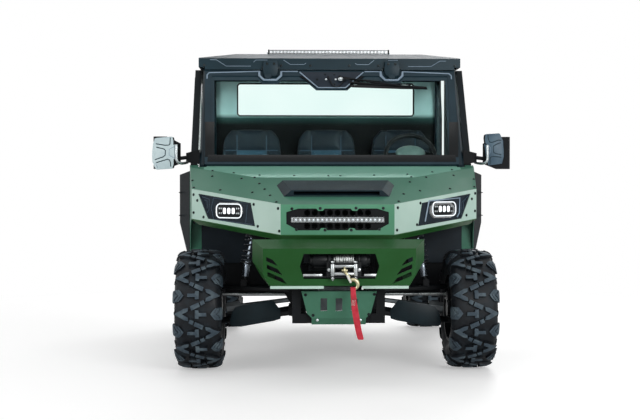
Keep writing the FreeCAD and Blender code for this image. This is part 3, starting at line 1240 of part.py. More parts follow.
def tail_lamps():
    """Rear lamps on the ends of the bed's side boxes."""
    return both(box(722, 828, at(BED_REAR_ST) + SEAT_GAP, at(BED_REAR_ST + 14), 880, 1010))


def rear_bumper():
    """Rear bumper tube with drop plates and the square hitch receiver."""
    tube = box(-420, 420, at(2440), at(2490), 520, 580)
    drops = both(box(RAIL_X - 12, RAIL_X + 12, at(2445), at(2470), RAIL_TOP_Z + SEAT_GAP, 522))
    receiver = box(-36, 36, at(2330), at(LAYOUT_REAR_AXLE_ST + REAR_REACH), HITCH_Z - 36, HITCH_Z + 36)
    bore = box(-HITCH_BORE / 2, HITCH_BORE / 2, at(2360), at(2600), HITCH_Z - HITCH_BORE / 2,
               HITCH_Z + HITCH_BORE / 2)
    pin = rod((-60, at(2495), HITCH_Z), (60, at(2495), HITCH_Z), 8)
    cross = box(-RAIL_X - 12, RAIL_X + 12, at(2445), at(2470), 400, 460)
    return fuse([tube, receiver, cross] + drops).cut(bore).cut(pin)


def engine():
    """Engine and gearbox as one plain block under the bed, on two mounts."""
    block = box(-165, 165, at(1660), at(1960), 390, 700)
    top = box(-110, 110, at(1690), at(1860), 700, 760)
    feet = both(box(120, RAIL_X + 20, at(1700), at(1740), RAIL_TOP_Z + SEAT_GAP, 400))
    return fuse([block, top] + feet)


def exhaust():
    """Silencer with its inlet pipe and tailpipe."""
    can = faceted((-130, at(2240), 640), (130, at(2240), 640), 78, 12)
    inlet = tube_run([(-60, at(1960) + SEAT_GAP, 600), (-60, at(2100), 600), (-60, at(2200), 636)], 22, 8)
    tail = tube_run([(100, at(2290), 640), (100, at(2400), 650), (100, at(2440), 648)], 20, 8)
    hanger = both(box(140, 146, at(2225), at(2255), RAIL_TOP_Z + SEAT_GAP, 660))
    foot = both(box(140, RAIL_X, at(2225), at(2255), RAIL_TOP_Z + SEAT_GAP, RAIL_TOP_Z + 6))
    return fuse([can, inlet, tail] + hanger + foot + both(box(128, 142, at(2225), at(2255), 630, 650)))


def control_arm(axle_st, heights, radius):
    """A-shaped control arm on the driver's side: two legs, ball boss and frame bushings."""
    inner_z, outer_z = heights
    outer = V(KINGPIN_X, at(axle_st), outer_z)
    parts = []
    for side in (-1, 1):
        inner = V(ARM_PIVOT_X + 12, at(axle_st + side * ARM_SPREAD), inner_z)
        parts.append(faceted(inner, outer, radius, 6))
        parts.append(faceted((inner.x + 8, inner.y - 26, inner_z), (inner.x + 8, inner.y + 26, inner_z), 22,
                             6))
    parts.append(faceted((outer.x, outer.y, outer_z - BOSS_LOW), (outer.x, outer.y, outer_z + BOSS_HIGH), 22, 6))
    middle = outer + (V(ARM_PIVOT_X, at(axle_st), inner_z) - outer) * 0.38
    half = ARM_SPREAD * 0.38
    parts.append(faceted((middle.x, middle.y - half, middle.z), (middle.x, middle.y + half, middle.z),
                         radius * 0.8, 6))
    return parts


def arm_frame_tabs(axle_st):
    """Upright plates by the rails that carry the arm bushings on the driver's side."""
    tabs = []
    for side in (-1, 1):
        y = at(axle_st + side * ARM_SPREAD)
        for dy in (-32, 26):
            x0 = RAIL_X + RAIL_SIZE / 2 + SEAT_GAP
            tabs.append(box(x0, 256, y + dy, y + dy + 6, 304, 346))
            tabs.append(box(x0, 256, y + dy, y + dy + 6, 418, 462))
    return tabs


def shock_eye_tab(axle_st):
    """Bracket on the upper arm that holds the lower eye of the shock, with its pin."""
    x, z = SHOCK_FOOT
    y = at(axle_st)
    plate = box(x - 16, x + 16, y - 46, y - 38, UPPER_ARM_Z[0], z + 14)
    bar = faceted((x, y - 44, UPPER_ARM_Z[0] + 8), (x, y + 40, UPPER_ARM_Z[0] + 8), 11, 6)
    pin = faceted((x, y - 42, z), (x, y + SHOCK_PIN_END, z), SHOCK_PIN_R, 8)
    return [plate, bar, pin]


def front_arms():
    """Front control arms with their bushing plates, shock brackets and flat guards."""
    parts = control_arm(0, LOWER_ARM_Z, 16) + arm_frame_tabs(0) + control_arm(0, UPPER_ARM_Z,
                                                                              13) + shock_eye_tab(0)
    guard = front_profile([(301, 318), (340, 288), (565, 241), (582, 262), (565, 320), (340, 340)], -112,
                          -106)
    clip = box(330, 350, at(-110), at(-72), 300, 316)
    return both(fuse(parts + [guard, clip]))


def rear_arms():
    """Rear control arms with bushing plates, shock brackets, hub carriers and stub axles."""
    parts = control_arm(LAYOUT_REAR_AXLE_ST, LOWER_ARM_Z, 16) + arm_frame_tabs(LAYOUT_REAR_AXLE_ST)
    parts += control_arm(LAYOUT_REAR_AXLE_ST, UPPER_ARM_Z,
                         13) + shock_eye_tab(LAYOUT_REAR_AXLE_ST) + hub_carrier(LAYOUT_REAR_AXLE_ST, 0)
    return both(fuse(parts))


def hub_carrier(axle_st, foot_gap):
    """Upright between the ball bosses with the bearing housing and stub axle, on the driver's side."""
    y = at(axle_st)
    low, high = LOWER_ARM_Z[1] + foot_gap, UPPER_ARM_Z[1] - foot_gap
    upright = box(KINGPIN_X - 15, KINGPIN_X + 15, y - 22, y + 22, low, high)
    housing = faceted((KINGPIN_X - 15, y, AXLE_HEIGHT), (KINGPIN_X + 24, y, AXLE_HEIGHT), 44, 12)
    stub = rod((KINGPIN_X, y, AXLE_HEIGHT), (STUB_END_X, y, AXLE_HEIGHT), STUB_R)
    return [upright, housing, stub]


def knuckle():
    """Driver's side steering knuckle with its stub axle and steering arm."""
    gap = BOSS_HIGH + MOVING_GAP + 1
    y = at(0)
    pins = [faceted((KINGPIN_X, y, LOWER_ARM_Z[1] + BOSS_HIGH + BEARING_GAP),
                    (KINGPIN_X, y, UPPER_ARM_Z[1] - BOSS_LOW - BEARING_GAP), KINGPIN_R, 8)]
    arm = plan_profile([(KINGPIN_X - 15, 0), (KINGPIN_X + 15, 0), (KINGPIN_X + 12, STEERING_ARM),
                        (KINGPIN_X, STEERING_ARM + 14), (KINGPIN_X - 12, STEERING_ARM)], STEERING_ARM_Z - 12, STEERING_ARM_Z)
    caliper = box(KINGPIN_X + 24, KINGPIN_X + 44, y - 96, y - 40, AXLE_HEIGHT + 4, AXLE_HEIGHT + 66)
    bridge = box(KINGPIN_X - 10, KINGPIN_X + 26, y - 60, y - 10, AXLE_HEIGHT + 14, AXLE_HEIGHT + 44)
    return fuse(hub_carrier(0, gap) + pins + [arm, caliper, bridge])


def steering_rack():
    """Rack bar with its two tie rods and their end eyes."""
    y = at(STEERING_ARM)
    bar = rod((-KINGPIN_X, y, TIE_ROD_Z), (KINGPIN_X, y, TIE_ROD_Z), TIE_ROD_R)
    eyes = both(faceted((KINGPIN_X, y, TIE_ROD_Z - 9), (KINGPIN_X, y, TIE_ROD_Z + 9), 14, 12))
    return fuse([bar] + eyes)


def front_drive():
    """Front differential with the rack housing on top of it, and the two half shafts with their boots."""
    case = box(-95, 95, at(-75), at(70), 325, 455)
    nose = faceted((0, at(69), 395), (0, at(150), 370), 34, 8)
    feet = both(box(94, RAIL_X, at(-30), at(0), RAIL_TOP_Z + SEAT_GAP, RAIL_TOP_Z + 8))
    sleeve = faceted((-165, at(STEERING_ARM), TIE_ROD_Z), (165, at(STEERING_ARM), TIE_ROD_Z), 27, 8)
    bore = rod((-170, at(STEERING_ARM), TIE_ROD_Z), (170, at(STEERING_ARM), TIE_ROD_Z),
               TIE_ROD_R + BEARING_GAP)
    saddle = both(box(60, 84, at(60), at(90), 372, 428))
    body = fuse([case, nose, sleeve] + saddle).cut(bore)
    shaft = [faceted((94, at(0), 398), (585, at(0), AXLE_HEIGHT + 8), 13, 6),
             faceted((96, at(0), 398), (158, at(0), 389), 38, 8),
             faceted((520, at(0), 341), (600, at(0), AXLE_HEIGHT), 34, 8)]
    return fuse([body] + both(fuse(shaft)) + feet)


def rear_drive():
    """Rear differential under the gearbox and the two rear half shafts with their boots."""
    case = box(-100, 100, at(1965), at(2130), 325, 470)
    y = at(LAYOUT_REAR_AXLE_ST)
    shaft = [faceted((98, y, 395), (600, y, AXLE_HEIGHT + 6), 14, 6),
             faceted((99, y, 395), (158, y, 388), 40, 8),
             faceted((540, y, AXLE_HEIGHT), (KINGPIN_X - 15 - SEAT_GAP, y, AXLE_HEIGHT), 36, 8)]
    return fuse([case] + both(fuse(shaft)))


def shock(axle_st):
    """Driver's side coil-over shock between the arm bracket and the tower."""
    y = at(axle_st) - 8
    foot, top = V(SHOCK_FOOT[0], y, SHOCK_FOOT[1]), V(SHOCK_TOP[0], y, SHOCK_TOP[1])
    run = (top - foot).normalize()
    parts = []
    for eye in (foot, top):
        ends = (eye - V(0, 15, 0), eye + V(0, 15, 0))
        parts.append(faceted(*ends, SHOCK_EYE_R, 8).cut(faceted(*ends, SHOCK_PIN_R + SEAT_GAP, 8)))
    parts.append(faceted(foot + run * 15, foot + run * 150, 11, 4))
    parts.append(faceted(foot + run * 40, top - run * 15, 26, 6))
    for n in range(SHOCK_COILS):
        start = foot + run * (84 + 38 * n)
        parts.append(faceted(start, start + run * 19, SHOCK_COIL_R, 6))
    return fuse(parts)


def front_shocks():
    """Front coil-over shocks."""
    return both(shock(0))


def rear_shocks():
    """Rear coil-over shocks."""
    return both(shock(LAYOUT_REAR_AXLE_ST))


def wheel(axle_st, centre_x, width):
    """Wheel on the driver's side: barrel with bead flanges, dished disc with windows, hub and cap."""
    y = at(axle_st)

    def turned(x0, x1, radius, sides=12):
        return faceted((centre_x + x0, y, AXLE_HEIGHT), (centre_x + x1, y, AXLE_HEIGHT), radius, sides)

    half = width / 2 - BEAD_INSET
    bore = turned(-half - 9, half + 9, RIM_RADIUS - RIM_WALL)
    barrel = turned(-half - 6, half + 6, RIM_RADIUS)
    flanges = [turned(half, half + 6, RIM_RADIUS + 9), turned(-half - 6, -half, RIM_RADIUS + 9)]
    disc = turned(DISC_X_OFFSET, DISC_X_OFFSET + 9, RIM_RADIUS - 4)
    windows = []
    for n in range(WHEEL_WINDOWS):
        turn = 2 * math.pi * n / WHEEL_WINDOWS
        corners = []
        for radius, spread in ((92, 0.28), (92, -0.28), (150, -0.4), (150, 0.4)):
            corners.append((centre_x + DISC_X_OFFSET - 2, y + radius * math.sin(turn + spread),
                            AXLE_HEIGHT + radius * math.cos(turn + spread)))
        windows.append(prism(corners, (20, 0, 0)))
    stub_reach = STUB_END_X - centre_x
    hub = turned(stub_reach - 30, DISC_X_OFFSET + 16, 46, 8).cut(
        rod((STUB_END_X - 31, y, AXLE_HEIGHT), (STUB_END_X + 7, y, AXLE_HEIGHT), HUB_BORE))
    return fuse([fuse([barrel] + flanges).cut(bore), cut_all(disc, windows), hub])


def tyre_section(half):
    """Half section of the carcass as (distance out from the middle, radius)."""
    bead = (RIM_RADIUS + SEAT_GAP) / math.cos(math.pi / PITCHES)
    return [(half - BEAD_INSET - SEAT_GAP, bead), (half - BEAD_INSET - SEAT_GAP, bead + 9), (half - 4, 236),
            (half - 6, 286), (half - 26, TYRE_RADIUS - LUG_HEIGHT)]


def tyre_carcass(y, centre_x, half):
    """Flat-sided tyre body as one closed shell, with a facet for every pitch of the tread."""
    outer = tyre_section(half)
    section = outer + [(-x, r) for x, r in reversed(outer)]
    step = 2 * math.pi / PITCHES
    faces = []
    for k in range(PITCHES):
        turns = ((k - 0.5) * step, (k + 0.5) * step)
        for a, b in zip(section, section[1:] + section[:1]):
            ring = []
            for (x, radius), turn in ((a, turns[0]), (b, turns[0]), (b, turns[1]), (a, turns[1])):
                ring.append(V(centre_x + x, y + radius * math.sin(turn),
                              AXLE_HEIGHT - radius * math.cos(turn)))
            faces.append(Part.Face(Part.makePolygon(ring + ring[:1])))
    carcass = Part.Solid(Part.Shell(faces))
    carcass.fix(0.01, 0.01, 0.01)
    return carcass


def tread_pitch(y, centre_x, half):
    """Lugs of the pitch that stands on the ground: two slanted shoulder lugs and two centre blocks."""
    root = TYRE_RADIUS - 2 * LUG_HEIGHT
    lugs = []
    for side in (1, -1):
        slant = [(half - 66, -30), (half - 66, 4), (half + 1, 36), (half + 1, 0)]
        plan = prism([(centre_x + side * x, y + side * c, 0) for x, c in slant], (0, 0, TYRE_RADIUS))
        section = [(half - 67, root), (half - 67, TYRE_RADIUS), (half - 14, TYRE_RADIUS), (half, 306),
                   (half - 20, 284)]
        bar = prism([(centre_x + side * x, y - 60, AXLE_HEIGHT - r) for x, r in section], (0, 120, 0))
        lugs.append(plan.common(bar))
        block = [(6, 8), (6, 38), (half - 78, 24), (half - 78, -8)]
        lugs.append(prism([(centre_x + side * x, y + side * c, 0) for x, c in block],
                          (0, 0, AXLE_HEIGHT - root)))
    return lugs


def tyre(axle_st, centre_x, width):
    """Mud tyre on the driver's side: flat-sided carcass with a ring of lugs."""
    y = at(axle_st)
    lugs = []
    for k in range(PITCHES):
        for lug in tread_pitch(y, centre_x, width / 2):
            turned = lug.copy()
            turned.rotate(V(centre_x, y, AXLE_HEIGHT), V(1, 0, 0), 360.0 * k / PITCHES)
            lugs.extend(turned.Solids)
    return fuse([tyre_carcass(y, centre_x, width / 2)] + lugs)


def nodes():
    """Every exported piece, by node name."""
    front, lamp_panels, hood, cowl, fenders = nose_panels()
    panes, shells = both(door_glass()), both(door())
    mirrors = both(mirror())
    table = {
        "chassis_frame": [chassis_frame()],
        "front_bumper": [front_bumper()],
        "front_skid_plate": [front_skid_plate()],
        "winch": [winch()],
        "fairlead": [fairlead()],
        "tow_hook": [tow_hook()],
        "pull_strap": [pull_strap()],
        "radiator": [radiator()],
        "nose_panel": [front],
        "lamp_panels": lamp_panels,
        "nose_lips": [nose_lips()],
        "hood_panel": [hood],
        "cowl_strip": [cowl],
        "front_fenders": fenders,
        "hood_scoop": [hood_scoop()],
        "grille_insert": [grille_insert()],
        "grille_light_bar": [grille_light_bar()],
        "lamp_bezels": lamp_bezels(),
        "headlamps": headlamps(),
        "wheel_arch_liners": wheel_arch_liners(),
        "cab_tub": [cab_tub(), seat_base()],
        "roll_cage": [roll_cage()],
        "windshield_frame": [windshield_frame()],
        "windshield_glass": [windshield_glass()],
        "wiper": [wiper()],
        "wiper_cable": [wiper_cable()],
        "roof_panel": [roof_panel()],
        "roof_light_bar": [roof_light_bar()],
        "dashboard": [dashboard()],
        "steering_wheel": [steering_wheel()],
        "seat_cushions": seat_cushions(),
        "seat_backs": seat_backs(),
        "rear_panel": [rear_panel()],
        "rear_window": [rear_window()],
        "door_left": [shells[0]],
        "door_right": [shells[1]],
        "door_glass_left": [panes[0]],
        "door_glass_right": [panes[1]],
        "mirrors": mirrors,
        "bed_box": [bed_box()],
        "tailgate": [tailgate()],
        "tail_lamps": tail_lamps(),
        "rear_bumper": [rear_bumper()],
        "engine": [engine(), rear_drive()],
        "exhaust": [exhaust()],
        "front_drive": [front_drive()],
        "front_arms": front_arms(),
        "rear_arms": rear_arms(),
        "shocks": front_shocks() + rear_shocks(),
        "steering_rack": [steering_rack()],
    }
    corners = (("front", 0.0, FRONT_WHEEL_X, FRONT_TYRE_WIDTH),
               ("rear", LAYOUT_REAR_AXLE_ST, REAR_WHEEL_X, REAR_TYRE_WIDTH))
    for end, station, x, width in corners:
        for kind, shape in (("wheel", wheel(station, x, width)), ("tyre", tyre(station, x, width))):
            table[f"{kind}_{end}_left"] = [shape]
            table[f"{kind}_{end}_right"] = [mirrored(shape)]
    table["knuckle_left"], table["knuckle_right"] = [[shape] for shape in both(knuckle())]
    return table


def main():
    os.makedirs("parts", exist_ok=True)
    for name, shapes in nodes().items():
        shape = shapes[0] if len(shapes) == 1 else solids_of(shapes)
        shape.exportStep(f"parts/{name}.step")


main()
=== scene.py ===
"""Dresses the side by side utility vehicle: finishes, small fittings and soft parts round its fixed frame."""

import json
import math

import bpy
from mathutils import Matrix, Vector


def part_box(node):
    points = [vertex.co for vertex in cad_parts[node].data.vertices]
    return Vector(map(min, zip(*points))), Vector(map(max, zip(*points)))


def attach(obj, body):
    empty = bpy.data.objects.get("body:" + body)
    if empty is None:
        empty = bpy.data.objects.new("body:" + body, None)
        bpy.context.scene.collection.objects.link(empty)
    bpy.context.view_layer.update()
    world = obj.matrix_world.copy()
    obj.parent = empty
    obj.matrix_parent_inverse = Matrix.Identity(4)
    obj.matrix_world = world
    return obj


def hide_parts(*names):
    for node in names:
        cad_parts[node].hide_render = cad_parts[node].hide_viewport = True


bl_info = {
    "name": "Side by side vehicle dresser",
    "version": (1, 0, 0),
    "blender": (4, 5, 0),
    "location": "View3D > Sidebar > Vehicle",
    "description": "Builds the finishes and small fittings of a side by side utility vehicle",
    "category": "Object",
}

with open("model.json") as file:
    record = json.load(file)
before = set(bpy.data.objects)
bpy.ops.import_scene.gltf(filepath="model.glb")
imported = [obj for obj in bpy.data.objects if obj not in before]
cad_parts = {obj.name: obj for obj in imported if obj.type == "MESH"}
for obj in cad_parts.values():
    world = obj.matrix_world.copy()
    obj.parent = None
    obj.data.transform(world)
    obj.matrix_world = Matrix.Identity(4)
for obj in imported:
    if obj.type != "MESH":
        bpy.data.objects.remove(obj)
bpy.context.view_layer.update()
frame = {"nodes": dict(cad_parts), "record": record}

MM = 0.001
FRONT_AXLE_Y = sum(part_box("wheel_front_left")[i].y for i in (0, 1)) / 2
MIRROR = Matrix.Diagonal((-1.0, 1.0, 1.0, 1.0))
ALONG = (math.pi / 2, 0.0, 0.0)  # turn that lays a drum's axis along the vehicle
ACROSS = (0.0, math.pi / 2, 0.0)  # turn that lays it across


def colour(hex_code):
    """Linear colour of an sRGB hex value."""
    channels = []
    for start in (1, 3, 5):
        value = int(hex_code[start:start + 2], 16) / 255
        channels.append(value / 12.92 if value <= 0.04045 else ((value + 0.055) / 1.055) ** 2.4)
    return (*channels, 1.0)


def mid(node_name):
    """Middle of a frame node."""
    low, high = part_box(node_name)
    return (low + high) / 2


def add_node(tree, kind, settings=None, **inputs):
    """Adds one shader node with its settings, and its inputs as values or as links."""
    node = tree.nodes.new(kind)
    for name, value in (settings or {}).items():
        setattr(node, name, value)
    for name, value in inputs.items():
        socket = node.inputs[int(name[2:]) if name.startswith("i_") else name.replace("_", " ")]
        if isinstance(value, bpy.types.NodeSocket):
            tree.links.new(value, socket)
        else:
            socket.default_value = value
    return node


def new_material(name):
    """An empty node material with its output, and object coordinates to place patterns by."""
    material = bpy.data.materials.new(name)
    material.use_nodes = True
    tree = material.node_tree
    tree.nodes.clear()
    output = add_node(tree, "ShaderNodeOutputMaterial")
    place = add_node(tree, "ShaderNodeTexCoord").outputs["Object"]
    return material, tree, output, place


def per(size_mm):
    """Texture scale at which one feature is about this many millimetres wide."""
    return 1000.0 / size_mm


def noise_at(tree, place, size_mm, detail=3.0, stretch=None):
    """Noise of a real size, drawn out along an axis where stretch is given."""
    if stretch:
        place = add_node(tree, "ShaderNodeMapping", Vector=place, Scale=stretch).outputs[0]
    return add_node(tree, "ShaderNodeTexNoise", Vector=place, Scale=per(size_mm),
                    Detail=detail).outputs["Fac"]


def bands(tree, place, axis, pitch_mm, distortion=0.4):
    """Stripes of a real pitch across an axis."""
    wave = add_node(tree, "ShaderNodeTexWave", {"bands_direction": axis}, Vector=place,
                    Scale=per(pitch_mm) * math.pi / 10, Distortion=distortion)
    return wave.outputs["Fac"]


def spread(tree, value, low, high, from_low=0.3, from_high=0.7):
    """A noise value brought between two limits."""
    return add_node(tree, "ShaderNodeMapRange", Value=value, From_Min=from_low, From_Max=from_high,
                    To_Min=low, To_Max=high).outputs[0]


def blend_colours(tree, factor, first, second):
    """Colour between two, each a hex value, a setting or a socket."""
    mix = add_node(tree, "ShaderNodeMix", {"data_type": "RGBA"}, i_0=factor)
    for socket, value in ((mix.inputs[6], first), (mix.inputs[7], second)):
        if isinstance(value, bpy.types.NodeSocket):
            tree.links.new(value, socket)
        else:
            socket.default_value = colour(value) if isinstance(value, str) else value
    return mix.outputs[2]


def bump(tree, height, depth_mm, strength=1.0):
    """Surface normal from a height pattern of a real depth."""
    return add_node(tree, "ShaderNodeBump", Height=height, Distance=depth_mm * MM,
                    Strength=strength).outputs[0]


def shade(tree, output, **inputs):
    """The surface's own shader, linked to the material's output."""
    shader = add_node(tree, "ShaderNodeBsdfPrincipled", **inputs)
    tree.links.new(shader.outputs[0], output.inputs[0])


def coated(name, main, worn, rough=0.45, grain_mm=2.0, grain_depth=0.05, patch_mm=160.0, sheen=0.2):
    """Paint or plastic: two near shades in broad patches, and a fine grain that breaks its soft gloss."""
    material, tree, output, place = new_material(name)
    patches = noise_at(tree, place, patch_mm)
    grain = noise_at(tree, place, grain_mm, detail=2.0)
    shade(tree, output, Specular_IOR_Level=sheen,
          Base_Color=blend_colours(tree, spread(tree, patches, 0.0, 1.0), main, worn),
          Roughness=spread(tree, grain, rough - 0.07, rough + 0.07),
          Normal=bump(tree, grain, grain_depth))
    return material


def bare_metal(name, main, worn, rough=0.3, streak=(1.0, 1.0, 1.0), grain_mm=3.0, grain_depth=0.02):
    """Bare or plated metal: a grain drawn along the way it was finished, and duller patches."""
    material, tree, output, place = new_material(name)
    patches = noise_at(tree, place, 60.0)
    grain = noise_at(tree, place, grain_mm, stretch=streak)
    shade(tree, output, Metallic=1.0,
          Base_Color=blend_colours(tree, spread(tree, patches, 0.0, 1.0), main, worn),
          Roughness=spread(tree, grain, rough - 0.08, rough + 0.1),
          Normal=bump(tree, grain, grain_depth))
    return material


def glazing(name, tint):
    """Clear sheet that lets the lamps' light through to the cab, with faint wipe marks in its tint."""
    material, tree, output, place = new_material(name)
    marks = noise_at(tree, place, 400.0, detail=1.0)
    glass = add_node(tree, "ShaderNodeBsdfPrincipled", Transmission_Weight=1.0, IOR=1.03,
                     Specular_IOR_Level=0.2, Roughness=0.0,
                     Base_Color=blend_colours(tree, spread(tree, marks, 0.0, 1.0), tint, "#f6fffd"))
    clear = add_node(tree, "ShaderNodeBsdfTransparent", Color=colour(tint))
    shadow = add_node(tree, "ShaderNodeLightPath").outputs["Is Shadow Ray"]
    both = add_node(tree, "ShaderNodeMixShader", i_0=shadow, i_1=glass.outputs[0], i_2=clear.outputs[0])
    tree.links.new(both.outputs[0], output.inputs[0])
    return material


def rubber(name, main, dusty):
    """Tyre rubber: matt black with dust lying in soft patches and a fine moulded grain."""
    material, tree, output, place = new_material(name)
    dust = noise_at(tree, place, 45.0, detail=5.0)
    grain = noise_at(tree, place, 1.6, detail=2.0)
    shade(tree, output, Specular_IOR_Level=0.25,
          Base_Color=blend_colours(tree, spread(tree, dust, 0.0, 1.0, 0.45, 0.75), main, dusty),
          Roughness=spread(tree, dust, 0.42, 0.68), Normal=bump(tree, grain, 0.12))
    return material


def upholstery(name, main, worn):
    """Seat vinyl: pebbled cells about three millimetres wide with a soft shine."""
    material, tree, output, place = new_material(name)
    pebbles = add_node(tree, "ShaderNodeTexVoronoi", {"feature": "DISTANCE_TO_EDGE"}, Vector=place,
                       Scale=per(3.0)).outputs["Distance"]
    patches = noise_at(tree, place, 120.0)
    shade(tree, output, Specular_IOR_Level=0.2,
          Base_Color=blend_colours(tree, spread(tree, patches, 0.0, 1.0), main, worn),
          Roughness=spread(tree, pebbles, 0.62, 0.45, 0.0, 0.3),
          Normal=bump(tree, pebbles, 0.3, 0.5))
    return material


def webbing(name, main, worn, across=1.6, along=2.2):
    """Woven strap: yarns across and along it, a little faded where it rubs."""
    material, tree, output, place = new_material(name)
    warp = bands(tree, place, "X", across)
    weft = bands(tree, place, "Z", along)
    weave = add_node(tree, "ShaderNodeMath", {"operation": "MULTIPLY"}, i_0=warp, i_1=weft).outputs[0]
    fade = noise_at(tree, place, 30.0)
    shade(tree, output, Roughness=0.8, Sheen_Weight=0.2,
          Base_Color=blend_colours(tree, spread(tree, fade, 0.0, 1.0), main, worn),
          Normal=bump(tree, weave, 0.4))
    return material


def glow(name, main, edge, strength):
    """Lit lamp part: brighter and dimmer spots so that it doesn't read as a flat patch."""
    material, tree, output, place = new_material(name)
    spots = noise_at(tree, place, 8.0)
    tone = blend_colours(tree, spread(tree, spots, 0.0, 1.0), main, edge)
    shade(tree, output, Base_Color=tone, Emission_Color=tone,
          Emission_Strength=strength, Roughness=0.25)
    return material


def lens_plastic(name, tint, flute_mm=5.0):
    """Clear moulded lens with fine flutes that scatter the light behind it."""
    material, tree, output, place = new_material(name)
    flutes = bands(tree, place, "X", flute_mm, 0.2)
    haze = noise_at(tree, place, 12.0)
    shade(tree, output, Transmission_Weight=0.75, IOR=1.45,
          Base_Color=blend_colours(tree, spread(tree, haze, 0.0, 1.0), tint, "#ffffff"),
          Roughness=spread(tree, haze, 0.05, 0.16), Normal=bump(tree, flutes, 0.3, 0.4))
    return material


def rear_wall_skin():
    """Cab's back wall: pale headliner cloth above the seats, with a painted shade that darkens it to near
    black behind them.
    """
    material, tree, output, place = new_material("back wall lining with painted shade")
    parts = add_node(tree, "ShaderNodeSeparateXYZ", Vector=place)
    patches = noise_at(tree, place, 120.0)
    lining = blend_colours(tree, spread(tree, patches, 0.0, 1.0), "#b4d6d6", "#c4e2e2")
    # Painted shade behind the seats: near black below the seat tops to dark teal just above them, then the
    # pale lining
    shade_behind_seats = add_node(tree, "ShaderNodeMapRange", Value=parts.outputs["Z"], From_Min=1.425,
                    From_Max=1.475).outputs[0]
    low = add_node(tree, "ShaderNodeMapRange", Value=parts.outputs["Z"], From_Min=1.470,
                   From_Max=1.500).outputs[0]
    dark = blend_colours(tree, shade_behind_seats, "#05080a", "#2c4a48")
    inside = blend_colours(tree, low, dark, lining)
    skin = add_node(tree, "ShaderNodeMapRange", Value=parts.outputs["Y"],
                    From_Min=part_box("rear_panel")[0].y + 0.003,
                    From_Max=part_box("rear_panel")[0].y + 0.004).outputs[0]
    weave = noise_at(tree, place, 2.0)
    shade(tree, output, Specular_IOR_Level=0.15,
          Base_Color=blend_colours(tree, skin, inside, "#16252d"), Roughness=spread(tree, weave, 0.6, 0.75),
          Normal=bump(tree, weave, 0.08))
    return material


